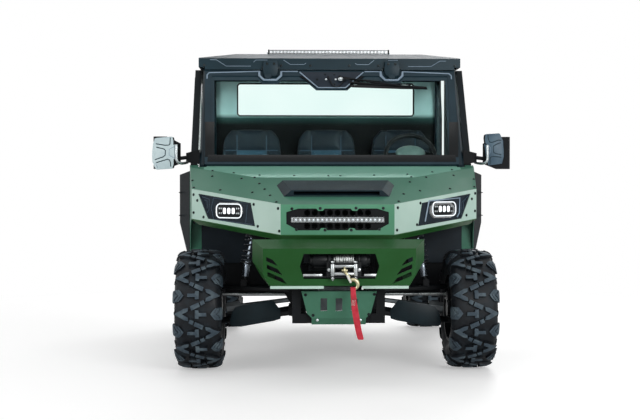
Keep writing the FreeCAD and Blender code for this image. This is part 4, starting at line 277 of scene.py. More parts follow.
def all_materials(paints):
    """Every finish by name, the main shade of the big pieces from the settings."""
    return {
        "frame_black": coated("powder coated steel", "#0c0e10", "#14171a", 0.42, 1.5, 0.06, sheen=0.12),
        "bumper_green": coated("bumper plate paint", paints.bumper, "#26562d", 0.36, 1.2, 0.03, 260.0, 0.12),
        "skid_green": coated("skid plate paint", paints.skid, "#457560", 0.45, 1.2, 0.04),
        "winch_black": coated("winch housing casting", "#0f1113", "#1b1e20", 0.4, 2.2, 0.12),
        "zinc_steel": bare_metal("zinc plated steel", "#c3c7c8", "#a2a7a8", 0.3),
        "hook_steel": bare_metal("yellow passivated hook steel", "#d9d3b4", "#b5ad86", 0.34),
        "red_webbing": webbing("red strap webbing", paints.strap, "#c92f42"),
        "core_alloy": bare_metal("radiator fin alloy", "#3c4143", "#2a2e30", 0.45, (1.0, 1.0, 8.0)),
        # Nose, lamp panels, lips, hood and cowl are one green paint; each panel's shade paints in how the
        # light falls on it: the lamp panels and cowl paler (painted highlight), the lips darkest (painted
        # shade), nose and hood between
        "nose_green": coated("nose paint with painted shading", paints.nose, "#5d977a", 0.34, 1.2, 0.02, 260.0),
        "panel_mint": coated("lamp panel paint with painted highlight", paints.panel, "#bfd8cd", 0.36, 1.2, 0.02, 260.0),
        "lip_green": coated("lip paint with painted shade", paints.lip, "#2c602f", 0.38, 1.2, 0.02, 200.0),
        "hood_green": coated("hood paint with painted shading", paints.hood, "#4a806b", 0.36, 1.2, 0.02, 280.0),
        "cowl_green": coated("cowl paint with painted highlight", paints.cowl, "#86bfab", 0.36, 1.2, 0.02, 220.0),
        "black_plastic": coated("moulded black plastic", "#0a0c0e", "#121518", 0.5, 1.0, 0.08, sheen=0.12),
        "led_lens": lens_plastic("light bar lens", "#c9d2d5", 9.0),
        "lamp_lens": lens_plastic("headlamp lens", "#dfe7ec", 14.0),
        "cage_teal": coated("cage tube paint", paints.cage, "#1d2e36", 0.38, 1.5, 0.03, 200.0),
        "screen_frame": coated("windshield frame plastic", paints.screen, "#21353f", 0.42, 1.4, 0.05),
        "clear_glass": glazing("cab glass", "#eefbf9"),
        "roof_teal": coated("roof shell plastic", paints.roof, "#1d353f", 0.4, 1.4, 0.05, 240.0),
        "bar_alloy": bare_metal("light bar alloy", "#e2e5e6", "#ced2d4", 0.42, (8.0, 1.0, 1.0)),
        "cable_jacket": coated("cable jacket", "#0b0d0e", "#131517", 0.5, 1.0, 0.03, 20.0),
        "seat_vinyl": upholstery("seat vinyl", paints.seat, "#1b262f"),
        "seat_panel": upholstery("seat panel vinyl", paints.seat_panel, "#345062"),
        "seat_piping": rubber("seat piping", "#33485a", "#3f5567"),
        "door_black": coated("door skin plastic", paints.door, "#10191e", 0.44, 1.4, 0.05, sheen=0.15),
        "bed_green": coated("bed paint", paints.bed, "#3c6d50", 0.42, 1.3, 0.03, 260.0),
        "tail_red": lens_plastic("tail lamp lens", "#b0141a", 6.0),
        "engine_alloy": bare_metal("engine casting alloy", "#7c8184", "#5f6467", 0.5,
                                   grain_mm=4.0, grain_depth=0.2),
        "exhaust_steel": bare_metal("heat stained exhaust steel", "#9a8f84", "#6f6a68", 0.38),
        "shock_black": coated("spring paint", "#0e1113", "#181c1f", 0.3, 1.0, 0.02, 40.0),
        "wheel_black": coated("cast wheel paint", paints.wheel, "#1a1e20", 0.32, 1.4, 0.04, 60.0),
        "tyre_rubber": rubber("tyre rubber", "#0d1116", "#222a30"),
        # Lug tops: lighter for wear and dust, and for a painted highlight where the light falls on them
        "tread_tops_wear_and_highlight": rubber("tread faces, wear and painted highlight", "#394650", "#5d6b72"),
        "fastener": bare_metal("blackened fastener steel", "#1d2122", "#33383a", 0.35),
        "bright_edge": bare_metal("bright trim", "#cfd6d8", "#b4bcbf", 0.28),
        "ring_white": glow("lamp ring diffuser", "#f4f8fa", "#dfe8ee", 0.7),
        "led_white": glow("lit diode", "#ffffff", "#dce9f2", 1.0),
        "mirror_glass": bare_metal("silvered mirror glass", "#e8edee", "#dfe6e8", 0.04, grain_depth=0.0),
        "frit_black": coated("glass edge print", "#090c0e", "#0f1417", 0.3, 0.8, 0.01, 80.0),
        "rope_steel": bare_metal("wound wire rope", "#b9bcbb", "#8b8e8d", 0.36, (1.0, 6.0, 6.0), 2.0, 0.3),
        "soft_grip": rubber("moulded grip rubber", "#0d0f11", "#181b1e"),
        # Printed border on the windshield; on the mirror covers' grooves the same dark teal is painted shade
        "frit_teal": coated("teal glass print and painted groove shade", "#1f333c", "#263c46", 0.34, 0.8, 0.01, 90.0),
        # On the windshield's head seal and the right bezel's band this pale tone is a painted highlight
        "seal_blue": coated("silver blue seal", "#8296a9", "#98abbc", 0.4, 1.2, 0.03, 60.0),
        "navy_plastic": coated("navy moulded plastic", "#1a232d", "#232d38", 0.42, 1.0, 0.06, 60.0),
        "hub_grey": coated("steering hub plastic", "#4d5f5c", "#5a6c68", 0.38, 1.2, 0.04, 60.0),
        "keeper_white": coated("white keeper plastic", "#e4e5dd", "#d6d8d0", 0.5, 1.0, 0.03, 20.0),
        # The two mirror covers are one plastic: the left one's paleness is a painted reflection, the right
        # one's darker steel blue a painted shade
        "mirror_painted_reflection": coated("mirror cover with painted reflection", "#bccfd4", "#cfdfe2", 0.3, 1.2, 0.03, 90.0),
        "mirror_painted_shade": coated("mirror cover with painted shade", "#435868", "#566c7a", 0.34, 1.2, 0.03, 60.0),
        "guard_teal": coated("moulded arm guard", "#0f1c22", "#16272d", 0.44, 1.4, 0.06, 120.0),
        "spring_blue": coated("spring enamel", "#12181f", "#1c242c", 0.28, 1.0, 0.02, 40.0, sheen=0.4),
        "damper_alloy": bare_metal("damper body alloy", "#a9b3bd", "#7f8a95", 0.24),
        "tail_glow": glow("lit tail row", "#d3161c", "#a80f14", 0.35),
        "rear_wall": rear_wall_skin(),
        "scoop_navy": coated("hood scoop plastic", "#101f25", "#182a32", 0.36, 1.2, 0.05, 90.0, 0.12),
        "liner_navy": coated("arch liner plastic", "#0d1820", "#14212a", 0.48, 1.4, 0.08, 120.0),
        "bezel_navy": coated("headlamp bezel plastic", "#111b24", "#1a2631", 0.34, 1.0, 0.04, 60.0),
        # Lighter beads along the headlamp bezels' folds: painted highlights
        "bezel_fold_highlight": coated("bezel fold painted highlight", "#3c4d5b", "#4a5c6b", 0.34, 1.0, 0.03, 40.0),
    }


def slot_of(node_name):
    """Finish that the record gives a frame node."""
    for entry in frame["record"]["subparts"]:
        if entry["node"] == node_name:
            return entry["material_slot"]
    raise RuntimeError("the record names no finish for " + node_name)


MATERIALS = {}


def clad(obj, finish):
    """Gives a piece one finish over all its faces."""
    obj.data.materials.clear()
    obj.data.materials.append(MATERIALS[finish])


def clear_selection():
    """Leaves nothing selected, in object mode."""
    if bpy.context.object and bpy.context.object.mode != "OBJECT":
        bpy.ops.object.mode_set(mode="OBJECT")
    bpy.ops.object.select_all(action="DESELECT")


def pick(*objects):
    """Selects these objects alone, the first of them active."""
    clear_selection()
    for obj in objects:
        obj.select_set(True)
    bpy.context.view_layer.objects.active = objects[0]
    return objects[0]


def edit(obj, *steps):
    """Runs edit mode steps on a piece with everything selected before each."""
    pick(obj)
    bpy.ops.object.mode_set(mode="EDIT")
    for step in steps:
        bpy.ops.mesh.select_all(action="SELECT")
        step()
    bpy.ops.object.mode_set(mode="OBJECT")
    return obj


def placed(name):
    """The new primitive, named, with its size and turn taken into the mesh."""
    obj = bpy.context.object
    obj.name = name
    bpy.ops.object.transform_apply(location=True, rotation=True, scale=True)
    return obj


def rounded(obj, width_mm, segments=2, angle=40.0):
    """Rounds the edges sharper than an angle."""
    pick(obj)
    modifier = obj.modifiers.new("round", "BEVEL")
    modifier.width = width_mm * MM
    modifier.segments = segments
    modifier.limit_method = "ANGLE"
    modifier.angle_limit = math.radians(angle)
    bpy.ops.object.modifier_apply(modifier=modifier.name)
    return obj


def block(name, centre, size, turn=(0.0, 0.0, 0.0), round_mm=0.0, segments=2):
    """Block of a size at a place, its edges rounded."""
    clear_selection()
    bpy.ops.mesh.primitive_cube_add(size=1.0, location=centre, rotation=turn, scale=size)
    obj = placed(name)
    return rounded(obj, round_mm, segments) if round_mm else obj


def drum(name, centre, radius, length, turn=(0.0, 0.0, 0.0), sides=24, round_mm=0.0):
    """Cylinder of a size at a place, its rims rounded."""
    clear_selection()
    bpy.ops.mesh.primitive_cylinder_add(vertices=sides, radius=radius, depth=length, location=centre,
                                        rotation=turn)
    obj = placed(name)
    return rounded(obj, round_mm, 2) if round_mm else obj


def plate(name, outline, thick, to_world, round_mm=0.0, segments=2):
    """Plate from an outline drawn flat, thickened and then stood where it belongs."""
    clear_selection()
    bpy.ops.mesh.primitive_circle_add(vertices=len(outline), fill_type="NGON")
    obj = placed(name)
    for vertex, (x, y) in zip(obj.data.vertices, outline):
        vertex.co = (x, y, 0.0)
    edit(obj, lambda: bpy.ops.mesh.extrude_region_move(TRANSFORM_OT_translate={"value": (0, 0, thick)}),
         lambda: bpy.ops.mesh.normals_make_consistent(inside=False))
    if round_mm:
        rounded(obj, round_mm, segments)
    obj.data.transform(to_world)
    return obj


def ring(name, centre, radius, thickness, turn=(0.0, 0.0, 0.0), sides=48, section=10):
    """Torus of a size at a place."""
    clear_selection()
    bpy.ops.mesh.primitive_torus_add(major_segments=sides, minor_segments=section, major_radius=radius,
                                     minor_radius=thickness, location=centre, rotation=turn)
    return placed(name)


def ball(name, centre, radius, segments, rings):
    """Sphere of a size at a place."""
    clear_selection()
    bpy.ops.mesh.primitive_uv_sphere_add(segments=segments, ring_count=rings, radius=radius, location=centre)
    return placed(name)


def merged(name, pieces):
    """Several pieces of one kind joined under a name."""
    joined = pick(*pieces)
    if len(pieces) > 1:
        bpy.ops.object.join()
    joined.name = name
    return joined


def copy_of(model, name, place=Matrix()):
    """One copy of a piece with its own mesh, moved by a transform, the model kept."""
    copy = bpy.data.objects.new(name, model.data.copy())
    bpy.context.collection.objects.link(copy)
    copy.data.transform(place)
    return copy


def copies(model, name, places):
    """A modelled piece repeated at these transforms with its own mesh, joined under a name."""
    made = [copy_of(model, name, place) for place in places]
    bpy.data.objects.remove(model)
    return merged(name, made)


def faced_out(obj):
    """A piece with its faces turned outwards, as after a mirrored copy."""
    return edit(obj, lambda: bpy.ops.mesh.normals_make_consistent(inside=False))


def curve_through(name, points, radius, resolution, kind="POLY"):
    """Round curve object through or along points."""
    curve = bpy.data.curves.new(name, "CURVE")
    curve.dimensions = "3D"
    curve.bevel_depth = radius
    curve.bevel_resolution = resolution
    curve.use_fill_caps = True
    spline = curve.splines.new(kind)
    spline.points.add(len(points) - 1)
    for target, point in zip(spline.points, points):
        target.co = (*point, 1.0)
    obj = bpy.data.objects.new(name, curve)
    bpy.context.collection.objects.link(obj)
    return obj


def sweep(name, points, radius, sides=10, cyclic=False, swell=()):
    """Round bar or wire along points, as a mesh, or led in thickness by the radii in swell."""
    obj = curve_through(name, points, 1.0 if swell else radius, max(0, sides // 4 - 1))
    spline = obj.data.splines[0]
    spline.use_cyclic_u = cyclic
    for target, own_radius in zip(spline.points, swell):
        target.radius = own_radius
    pick(obj)
    bpy.ops.object.convert(target="MESH")
    return bpy.context.object


def finished(obj, body, finish, smooth=35.0):
    """Shades, clads and hands a piece to the body that carries it."""
    pick(obj)
    if smooth:
        bpy.ops.object.shade_smooth_by_angle(angle=math.radians(smooth))
    if finish:
        clad(obj, finish)
    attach(obj, body)
    return obj


def fitted(name, pieces, finish, body="chassis", smooth=35.0):
    """Pieces joined under a name and handed, finished, to the body that carries them."""
    return finished(merged(name, pieces), body, finish, smooth=smooth)


def mirrored_places(places):
    """These transforms and their mirror images across the middle."""
    return list(places) + [MIRROR @ place for place in places]


def spot(x, station, z):
    """Point in the frame from millimetres across, behind the front axle and above the ground."""
    return Vector((x * MM, FRONT_AXLE_Y + station * MM, z * MM))


def seat_plane(origin, up, out):
    """Seat whose x runs across, y upwards along the surface and z away from it."""
    return Matrix.Translation(origin) @ Matrix((up.cross(out), up, out)).transposed().to_4x4()


EYE = Vector((-0.279, -7.930, 0.999))  # where the photograph was taken from, in metres
SIGHT = (284.5, 188.0, 1261.0)  # picture point straight ahead, and the lens in pixels


def sighted(node_names, px, py, lift_mm=0.0):
    """Seat on the first of these nodes that the sight line through a point of the photograph meets."""
    ray = Vector(((px - SIGHT[0]) / SIGHT[2], 1.0, (SIGHT[1] - py) / SIGHT[2])).normalized()
    met = []
    for node_name in node_names:
        hit, point, normal, face = frame["nodes"][node_name].ray_cast(EYE, ray)
        if hit:
            met.append(((point - EYE).length, point, -normal if normal.dot(ray) > 0 else normal))
    if not met:
        raise RuntimeError(f"none of {node_names} is met at {px}, {py}")
    reach, point, normal = min(met, key=lambda entry: entry[0])
    turn = normal.to_track_quat("Z", "Y").to_matrix().to_4x4()
    return Matrix.Translation(point + normal * lift_mm * MM) @ turn


def level_turn(seat):
    """The same seat with its local X kept level, so that what stands on it isn't rolled."""
    point, out = seat.translation, seat.to_3x3() @ Vector((0, 0, 1))
    across = Vector((0, 0, 1)).cross(out).normalized()
    up = out.cross(across)
    turn = Matrix((across, up, out)).transposed().to_4x4()
    return Matrix.Translation(point) @ turn


def on_plane(seat, px, py, out=0.0):
    """Where the sight line through a point of the photograph meets a flat seat, in the seat's x and y."""
    back = seat.inverted()
    eye = back @ EYE
    ray = back.to_3x3() @ Vector(((px - SIGHT[0]) / SIGHT[2], 1.0, (SIGHT[1] - py) / SIGHT[2]))
    reach = (out - eye.z) / ray.z
    return eye.x + ray.x * reach, eye.y + ray.y * reach


def traced(name, seat, outline, out_mm, thick_mm, round_mm=0.0):
    """Plate on a flat seat whose outline is read off the photograph."""
    points = [on_plane(seat, px, py, out_mm * MM) for px, py in outline]
    return plate(name, points, thick_mm * MM, seat @ Matrix.Translation((0.0, 0.0, out_mm * MM)), round_mm)


def traced_line(name, seat, line, out_mm, radius_mm, cyclic=False):
    """Round bead on a flat seat along a line read off the photograph."""
    points = [seat @ Vector((*on_plane(seat, px, py, out_mm * MM), out_mm * MM)) for px, py in line]
    return sweep(name, points, radius_mm * MM, 12, cyclic)


def crop_points(points, corner, factor):
    """Picture points read off an enlarged crop with its corner and its enlargement."""
    return [(corner[0] + x / factor, corner[1] + y / factor) for x, y in points]


def oblong(half_x, half_y, chamfer, count=3):
    """Closed outline of a box with rounded corners, in order round it."""
    outline = []
    for corner, (sx, sy) in enumerate(((1, 1), (-1, 1), (-1, -1), (1, -1))):
        for step in range(count + 1):
            angle = math.pi / 2 * (corner + step / count)
            outline.append((sx * (half_x - chamfer) + chamfer * math.cos(angle),
                            sy * (half_y - chamfer) + chamfer * math.sin(angle)))
    return outline


def button_bolt(radius_mm, height_mm=3.4):
    """Button head bolt with a socket, standing on its washer at the origin."""
    washer = drum("washer", (0, 0, 0.0004), radius_mm * 1.35 * MM, 0.0012, sides=20)
    head = drum("head", (0, 0, (0.6 + height_mm / 2) * MM), radius_mm * MM, height_mm * MM, sides=20,
                round_mm=1.6)
    pick(head)
    bpy.ops.object.mode_set(mode="EDIT")
    bpy.ops.mesh.select_all(action="DESELECT")
    bpy.ops.object.mode_set(mode="OBJECT")
    top = max(head.data.polygons, key=lambda face: face.center.z)
    top.select = True
    bpy.ops.object.mode_set(mode="EDIT")
    bpy.ops.mesh.inset(thickness=radius_mm * 0.3 * MM)
    bpy.ops.mesh.extrude_region_move(TRANSFORM_OT_translate={"value": (0, 0, -1.6 * MM)})
    bpy.ops.object.mode_set(mode="OBJECT")
    return merged("bolt", [washer, head])


TREAD_STEPS = 20  # half units of the tread pattern round a tyre
TYRE_RADIUS = 0.330
LUG_ROOT = -0.004


def tyre_crown(half):
    """Outer skin of the tyre as (distance from its middle, radius) from the crown to the bead, in metres."""
    return [(0.0, 0.311), (half - 0.070, 0.3098), (half - 0.040, 0.3075), (half - 0.022, 0.301),
            (half - 0.011, 0.287), (half - 0.004, 0.267), (half - 0.001, 0.240), (half - 0.006, 0.214),
            (half - 0.017, 0.197), (half - 0.0195, 0.186)]


def on_tyre(u, s, height, half):
    """Point over the tyre's skin: u across from the middle, s round the tread, height outwards."""
    crown = tyre_crown(half)
    left = abs(u)
    for (x0, r0), (x1, r1) in zip(crown, crown[1:]):
        run = math.hypot(x1 - x0, r1 - r0)
        if left <= run or (x1, r1) == crown[-1]:
            break
        left -= run
    share = left / run
    x, radius = x0 + (x1 - x0) * share, r0 + (r1 - r0) * share
    across, out = (r0 - r1) / run, (x1 - x0) / run
    turn = s / TYRE_RADIUS
    radius += height * out
    return Vector((math.copysign(x + height * across, u), radius * math.sin(turn), -radius * math.cos(turn)))


def lug(outline_mm, top, cuts=()):
    """Tread block from its outline on the skin, cut where the skin bends, ready to be wrapped on to it."""
    outline = [(u * MM, s * MM) for u, s in outline_mm]
    block = plate("lug", outline, top - LUG_ROOT, Matrix.Translation((0.0, 0.0, LUG_ROOT)))
    edit(block, *[lambda u=u: bpy.ops.mesh.bisect(plane_co=(u * MM, 0, 0), plane_no=(1, 0, 0)) for u in cuts])
    rounded(block, 1.4, 2, 30.0)
    return block


def tread_half_unit(half, height):
    """Blocks of half a tread unit: a T, a split bar, a shoulder block with its chevron rib and an arrow."""
    wide = half / 0.127
    shapes = [
        ([(-10, -24), (9, -22), (11, -9), (50, -9), (52, 11), (11, 11), (9, 24), (-10, 22)], height, (0,)),
        ([(-36, 26), (-14, 36), (-22, 58), (-44, 46)], height, ()),
        ([(-9, 39), (36, 60), (28, 84), (-17, 62)], height, (0,)),
        ([(70, 0), (94, -34), (140, -40), (147, -26), (147, 26), (140, 40), (94, 34)], height - 0.008,
         (87, 108, 128)),
        ([(-44, -36), (-66, -32), (-106, -8), (-112, 0), (-106, 8), (-66, 32), (-44, 36), (-47, 16), (-76, 0),
          (-47, -16)], height - 0.002, (-57, -87, -105)),
        ([(84, 0), (104, -32), (111, -32), (93, 0), (111, 32), (104, 32)], height - 0.0045, (87, 108)),
        ([(101, 0), (117, -28), (123, -28), (108, 0), (123, 28), (117, 28)], height - 0.0045, (108,)),
        ([(-120, -22), (-156, -6), (-156, 6), (-120, 22), (-124, 8), (-138, 0), (-124, -8)], 0.004,
         (-128, -150)),
    ]
    blocks = []
    for outline, top, cuts in shapes:
        stretched = [(u * wide, s) for u, s in outline]
        blocks.append(lug(stretched, top, [u * wide for u in cuts]))
    return merged("tread_unit", blocks)


def build_tyre(name, node_name, half, lug_height):
    """Tyre round its wheel's centre: a carcass spun from its section and a ring of tread blocks."""
    crown = tyre_crown(half)
    inner = [(half - 0.034, 0.186), (half - 0.018, 0.235), (half - 0.024, 0.284), (half - 0.052, 0.302)]
    section = crown[::-1] + [(-x, r) for x, r in crown[1:]] + [(-x, r) for x, r in inner] + inner[::-1]
    clear_selection()
    bpy.ops.mesh.primitive_circle_add(vertices=len(section))
    carcass = placed(name)
    for vertex, (x, r) in zip(carcass.data.vertices, section):
        vertex.co = (x, 0.0, -r)
    edit(carcass, lambda: bpy.ops.mesh.spin(steps=80, angle=2 * math.pi, center=(0, 0, 0), axis=(1, 0, 0)),
         lambda: bpy.ops.mesh.remove_doubles(threshold=0.00005))
    clad(carcass, "tyre_rubber")
    unit = tread_half_unit(half, lug_height)
    ring_of_blocks = []
    for step in range(TREAD_STEPS):
        block = copy_of(unit, "tread")
        side = -1.0 if step % 2 else 1.0
        shift = 2 * math.pi * TYRE_RADIUS * step / TREAD_STEPS
        clad(block, "tyre_rubber")
        block.data.materials.append(MATERIALS["tread_tops_wear_and_highlight"])
        for face in block.data.polygons:
            # Faces turned outwards on the lug tops take the lighter tone: wear plus a painted highlight
            face.material_index = int(face.normal.z > 0.8 and face.center.z > 0.008)
        for vertex in block.data.vertices:
            u, s, height = vertex.co
            vertex.co = on_tyre(side * u, s + shift, height, half)
        ring_of_blocks.append(block)
    bpy.data.objects.remove(unit)
    tyre = merged(name, [carcass] + ring_of_blocks)
    faced_out(tyre)
    tyre.data.transform(Matrix.Translation(mid(node_name)))
    return tyre


def build_tyres(sizes):
    """Four tyres, the right ones mirrored from the left."""
    for end in ("front", "rear"):
        low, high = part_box(f"tyre_{end}_left")
        half = (high.x - low.x) / 2
        left = build_tyre(f"tread_{end}_left", f"tyre_{end}_left", half, sizes.lug_height)
        right = faced_out(copy_of(left, f"tread_{end}_right", MIRROR))
        for side, tyre in (("left", left), ("right", right)):
            finished(tyre, f"wheel_{end}_{side}", None, 32.0)
            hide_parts(f"tyre_{end}_{side}")


WHEEL_FACE = 0.058  # hub's middle to the face that the nuts clamp, in metres
NUT_CIRCLE = 0.062
RIM_BOLT_CIRCLE = 0.171


def round_hub(hub, x, reach, count, start):
    """Places on a circle round a hub at one x, in metres."""
    angles = [2 * math.pi * (n + start) / count for n in range(count)]
    return [Vector((x, hub.y + reach * math.sin(angle), hub.z + reach * math.cos(angle))) for angle in angles]


def build_wheel_fittings():
    """Wheel nuts, centre caps and valves on the four wheels."""
    for end in ("front", "rear"):
        hub = mid(f"wheel_{end}_left")
        face = hub.x + WHEEL_FACE
        for side in ("left", "right"):
            nuts = [drum("nut", place, 0.0105, 0.022, ACROSS, 6, 1.0)
                    for place in round_hub(hub, face - 0.008, NUT_CIRCLE, 4, 0.5)]
            cap = drum("cap", (face + 0.004, hub.y, hub.z), 0.033, 0.014, ACROSS, 32, 3.0)
            valve = drum("valve", (face - 0.02, hub.y, hub.z + 0.160), 0.004, 0.03, ACROSS, 12, 0.8)
            fittings = merged(f"wheel_fittings_{end}_{side}", nuts + [cap, valve])
            if side == "right":
                fittings.data.transform(MIRROR)
            finished(faced_out(fittings), f"wheel_{end}_{side}", "zinc_steel")


def build_rim_bolts(sizes):
    """Ring of clamp bolts round each wheel's outer lip."""
    for end in ("front", "rear"):
        low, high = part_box(f"wheel_{end}_left")
        hub = mid(f"wheel_{end}_left")
        places = [Matrix.Translation(centre) @ Matrix.Rotation(math.pi / 2, 4, "Y")
                  for centre in round_hub(hub, high.x - 0.0006, RIM_BOLT_CIRCLE, 16, 0.5)]
        for side, sides_places in (("left", places), ("right", [MIRROR @ place for place in places])):
            bolts = copies(button_bolt(sizes.rim_bolt_radius / MM), f"rim_bolts_{end}_{side}", sides_places)
            finished(faced_out(bolts), f"wheel_{end}_{side}", "zinc_steel")


NOSE_SKIN = ("cowl_strip", "hood_panel", "front_fenders", "lamp_panels", "nose_panel", "nose_lips")
NOSE_BOLTS = {
    "cowl": [(212.7, 170.8), (233.8, 173), (259.6, 175.3), (294, 175.8), (328.4, 176), (340.4, 176),
             (374.2, 175.3), (407.6, 174.3), (432.5, 172.1), (452.3, 169.8)],
    "hood": [(254.6, 177.6), (259.4, 183.6), (264.6, 189.2), (270, 195.4), (276.3, 202), (411.5, 177),
             (410, 182), (403.8, 194), (398.8, 201.4)],
    "fenders": [(212.4, 176.3), (241.6, 178.6), (220.3, 190), (252.3, 192.4), (426.4, 177.3), (454, 175.4),
                (420.2, 190.8), (450.4, 188.7), (192.8, 180.5), (194, 187.6), (474.3, 179.1), (474.9, 186.8)],
    "lamp panels with painted highlight": [(193.8, 194.6), (197.5, 200.4), (193.8, 212.5), (203.7, 217), (253.7, 204.4), (278, 208.5),
                    (257.7, 226.3), (279.2, 231.1), (475.7, 193.4), (472.4, 199), (475.6, 211), (467, 215.3),
                    (420.7, 203.2), (398, 207.8), (417.3, 224.8), (397.2, 230.2)],
    "grille": [(291.8, 208.8), (320.2, 208.4), (356, 208.2), (383.4, 208.3), (296.4, 229.6), (325, 230.1),
               (351.3, 230.1), (379.4, 229.3)],
    "lips": [(194.6, 222.3), (473.6, 221.2)],
}
HEADLAMPS = ((229.5, 210.9), (444.0, 208.9))
SKID_BOLTS = [(305.5, 295), (374.5, 294.6), (313, 315.5), (369, 314.8)]


def build_nose_bolts(sizes):
    """Button head bolts along the seams of the nose panels and on the skid plate."""
    places = [sighted(NOSE_SKIN, px, py, -0.2) for spots in NOSE_BOLTS.values() for px, py in spots]
    places += [sighted(("front_skid_plate",), px, py, -0.2) for px, py in SKID_BOLTS]
    bolts = copies(button_bolt(sizes.nose_bolt_radius / MM), "nose_bolts", places)
    finished(bolts, "chassis", "fastener")


def build_headlamps(sizes):
    """White ring, dark reflector, three bright projector bars and small diodes in each headlamp."""
    rings, cups, bars, diodes = [], [], [], []
    for px, py in HEADLAMPS:
        seat = level_turn(sighted(("headlamps",), px, py))
        loop = [seat @ Vector((x, y, 0.0055)) for x, y in oblong(0.0910, 0.0375, 0.024)]
        rings.append(sweep("ring", loop, sizes.lamp_ring_wire, 12, cyclic=True))
        cup_seat = seat @ Matrix.Translation((0, 0, 0.0006))
        cups.append(plate("cup", oblong(0.0890, 0.0355, 0.023), 0.0025, cup_seat, 0.6))
        for n in (-1, 0, 1):
            place = seat @ Matrix.Translation((n * 0.0320, 0, 0.003))
            bars.append(plate("bar", oblong(0.0100, 0.0165, 0.0070), 0.004, place, 1.2))
            cups.append(plate("hood", oblong(0.0135, 0.0215, 0.0090), 0.0015, place, 0.5))
        for sx in (-1, 1):
            for sy in (-1, 1):
                for n in (0, 1):
                    place = seat @ Matrix.Translation((sx * (0.056 + 0.014 * n), sy * 0.013, 0.003))
                    diodes.append(plate("diode", oblong(0.0046, 0.0046, 0.0036), 0.0022, place, 0.4))
    for name, pieces, finish in (("lamp_rings", rings, "ring_white"), ("lamp_cups", cups, "frit_black"),
                                 ("lamp_bars", bars, "led_white"), ("lamp_diodes", diodes, "bright_edge")):
        fitted(name, pieces, finish, smooth=40.0)


BEZEL_CROP = ((185.0, 165.0), 5.227)
# Lines along the bezels' folds and the right bezel's pale band, drawn light as painted highlights
BEZEL_LINES = [[(150, 172), (138, 225), (152, 284)], [(150, 172), (332, 202)], [(152, 284), (352, 312)],
               [(90, 166), (128, 178), (127, 236), (116, 250)], [(104, 182), (117, 188), (117, 226)],
               [(326, 206), (318, 300)],
               [(1482, 162), (1448, 196), (1444, 262)], [(1470, 176), (1459, 192), (1455, 236)]]
BEZEL_BANDS = [[(1276, 188), (1438, 172), (1436, 250), (1424, 272)], [(1276, 188), (1256, 296)]]


def sight_line(nodes, line, radius_mm):
    """Bead laid on the first surface that the sight lines through these crop points meet."""
    (left, top), factor = BEZEL_CROP
    seats = [sighted(nodes, left + x / factor, top + y / factor, 0.4) for x, y in line]
    return sweep("line", [seat.translation for seat in seats], radius_mm * MM, 10)


def build_bezel_lines():
    """Painted highlights along the folds of the headlamp bezels: lighter beads on the triangles at their outer
    ends, and the pale band of the right one.
    """
    lines = [sight_line(("lamp_bezels", "lamp_panels"), line, 2.0) for line in BEZEL_LINES]
    fitted("bezel_lines", lines, "bezel_fold_highlight", smooth=60.0)
    bands = [sight_line(("lamp_bezels", "lamp_panels"), line, 4.2) for line in BEZEL_BANDS]
    fitted("bezel_highlight_bands", bands, "seal_blue", smooth=60.0)


def build_grille_lights():
    """Row of diodes in their cups along the grille light bar, with a thin bright rim."""
    low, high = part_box("grille_light_bar")
    half = (high.x - low.x) / 2 - 0.014
    z = (low.z + high.z) / 2
    y = low.y
    cups, diodes = [], []
    count = 20
    for n in range(count):
        x = -half + 2 * half * (n + 0.5) / count
        cups.append(ring("cup", (x, y - 0.0006, z), 0.0072, 0.0017, ALONG, 20, 6))
        diodes.append(block("diode", (x, y - 0.0008, z), (0.0056, 0.0024, 0.0056), (0, math.pi / 4, 0), 0.5))
    outline = oblong(half + 0.008, (high.z - low.z) / 2 - 0.003, 0.006)
    rim = [Vector((x, y - 0.0004, z + dz)) for x, dz in outline]
    cups.append(sweep("rim", rim, 0.0014, 8, cyclic=True))
    fitted("grille_bar_cups", cups, "bright_edge", smooth=40.0)
    fitted("grille_bar_diodes", diodes, "led_white")


SCREEN_HEAD = spot(0.0, 778.0, 1722.0)
SCREEN_UP = (SCREEN_HEAD - spot(0.0, 380.0, 1138.0)).normalized()
SCREEN = seat_plane(SCREEN_HEAD, SCREEN_UP, Vector((0.0, -SCREEN_UP.z, SCREEN_UP.y)))
BROW = seat_plane(spot(0.0, 766.0, 1730.0), Vector((0.0, 0.0, 1.0)), Vector((0.0, -1.0, 0.0)))
HINGE_BLOCK = [(264, 61.6), (277.3, 61.6), (278.4, 70), (277.3, 75.3), (275.3, 76.9), (266, 76.9),
               (264, 75.3), (262.8, 70)]
HINGE_CENTRES = (270.7, 391.9)  # picture x of the two windshield hinges
SEAL_LEFT = [(207.4, 79), (207.4, 75.4), (209.5, 73.2), (259, 71.8), (259.4, 76), (264, 80.2), (276.6, 80.2),
             (281.2, 76), (281.4, 71.8), (297.6, 71.8)]
SEAL_RIGHT = [(364.6, 71.8), (381.4, 71.8), (381.8, 76), (386.2, 80.2), (397.4, 80.2), (402, 76),
              (402.4, 71.8), (449, 73.6), (451.4, 75.6), (451.6, 79)]
WIPER_FACE = [(299.6, 72.4), (318, 87.8), (345.4, 87.8), (363.2, 72.4)]
WIPER_SKIRT = [(299, 76), (316.2, 90.6), (347.2, 90.6), (364, 76)]


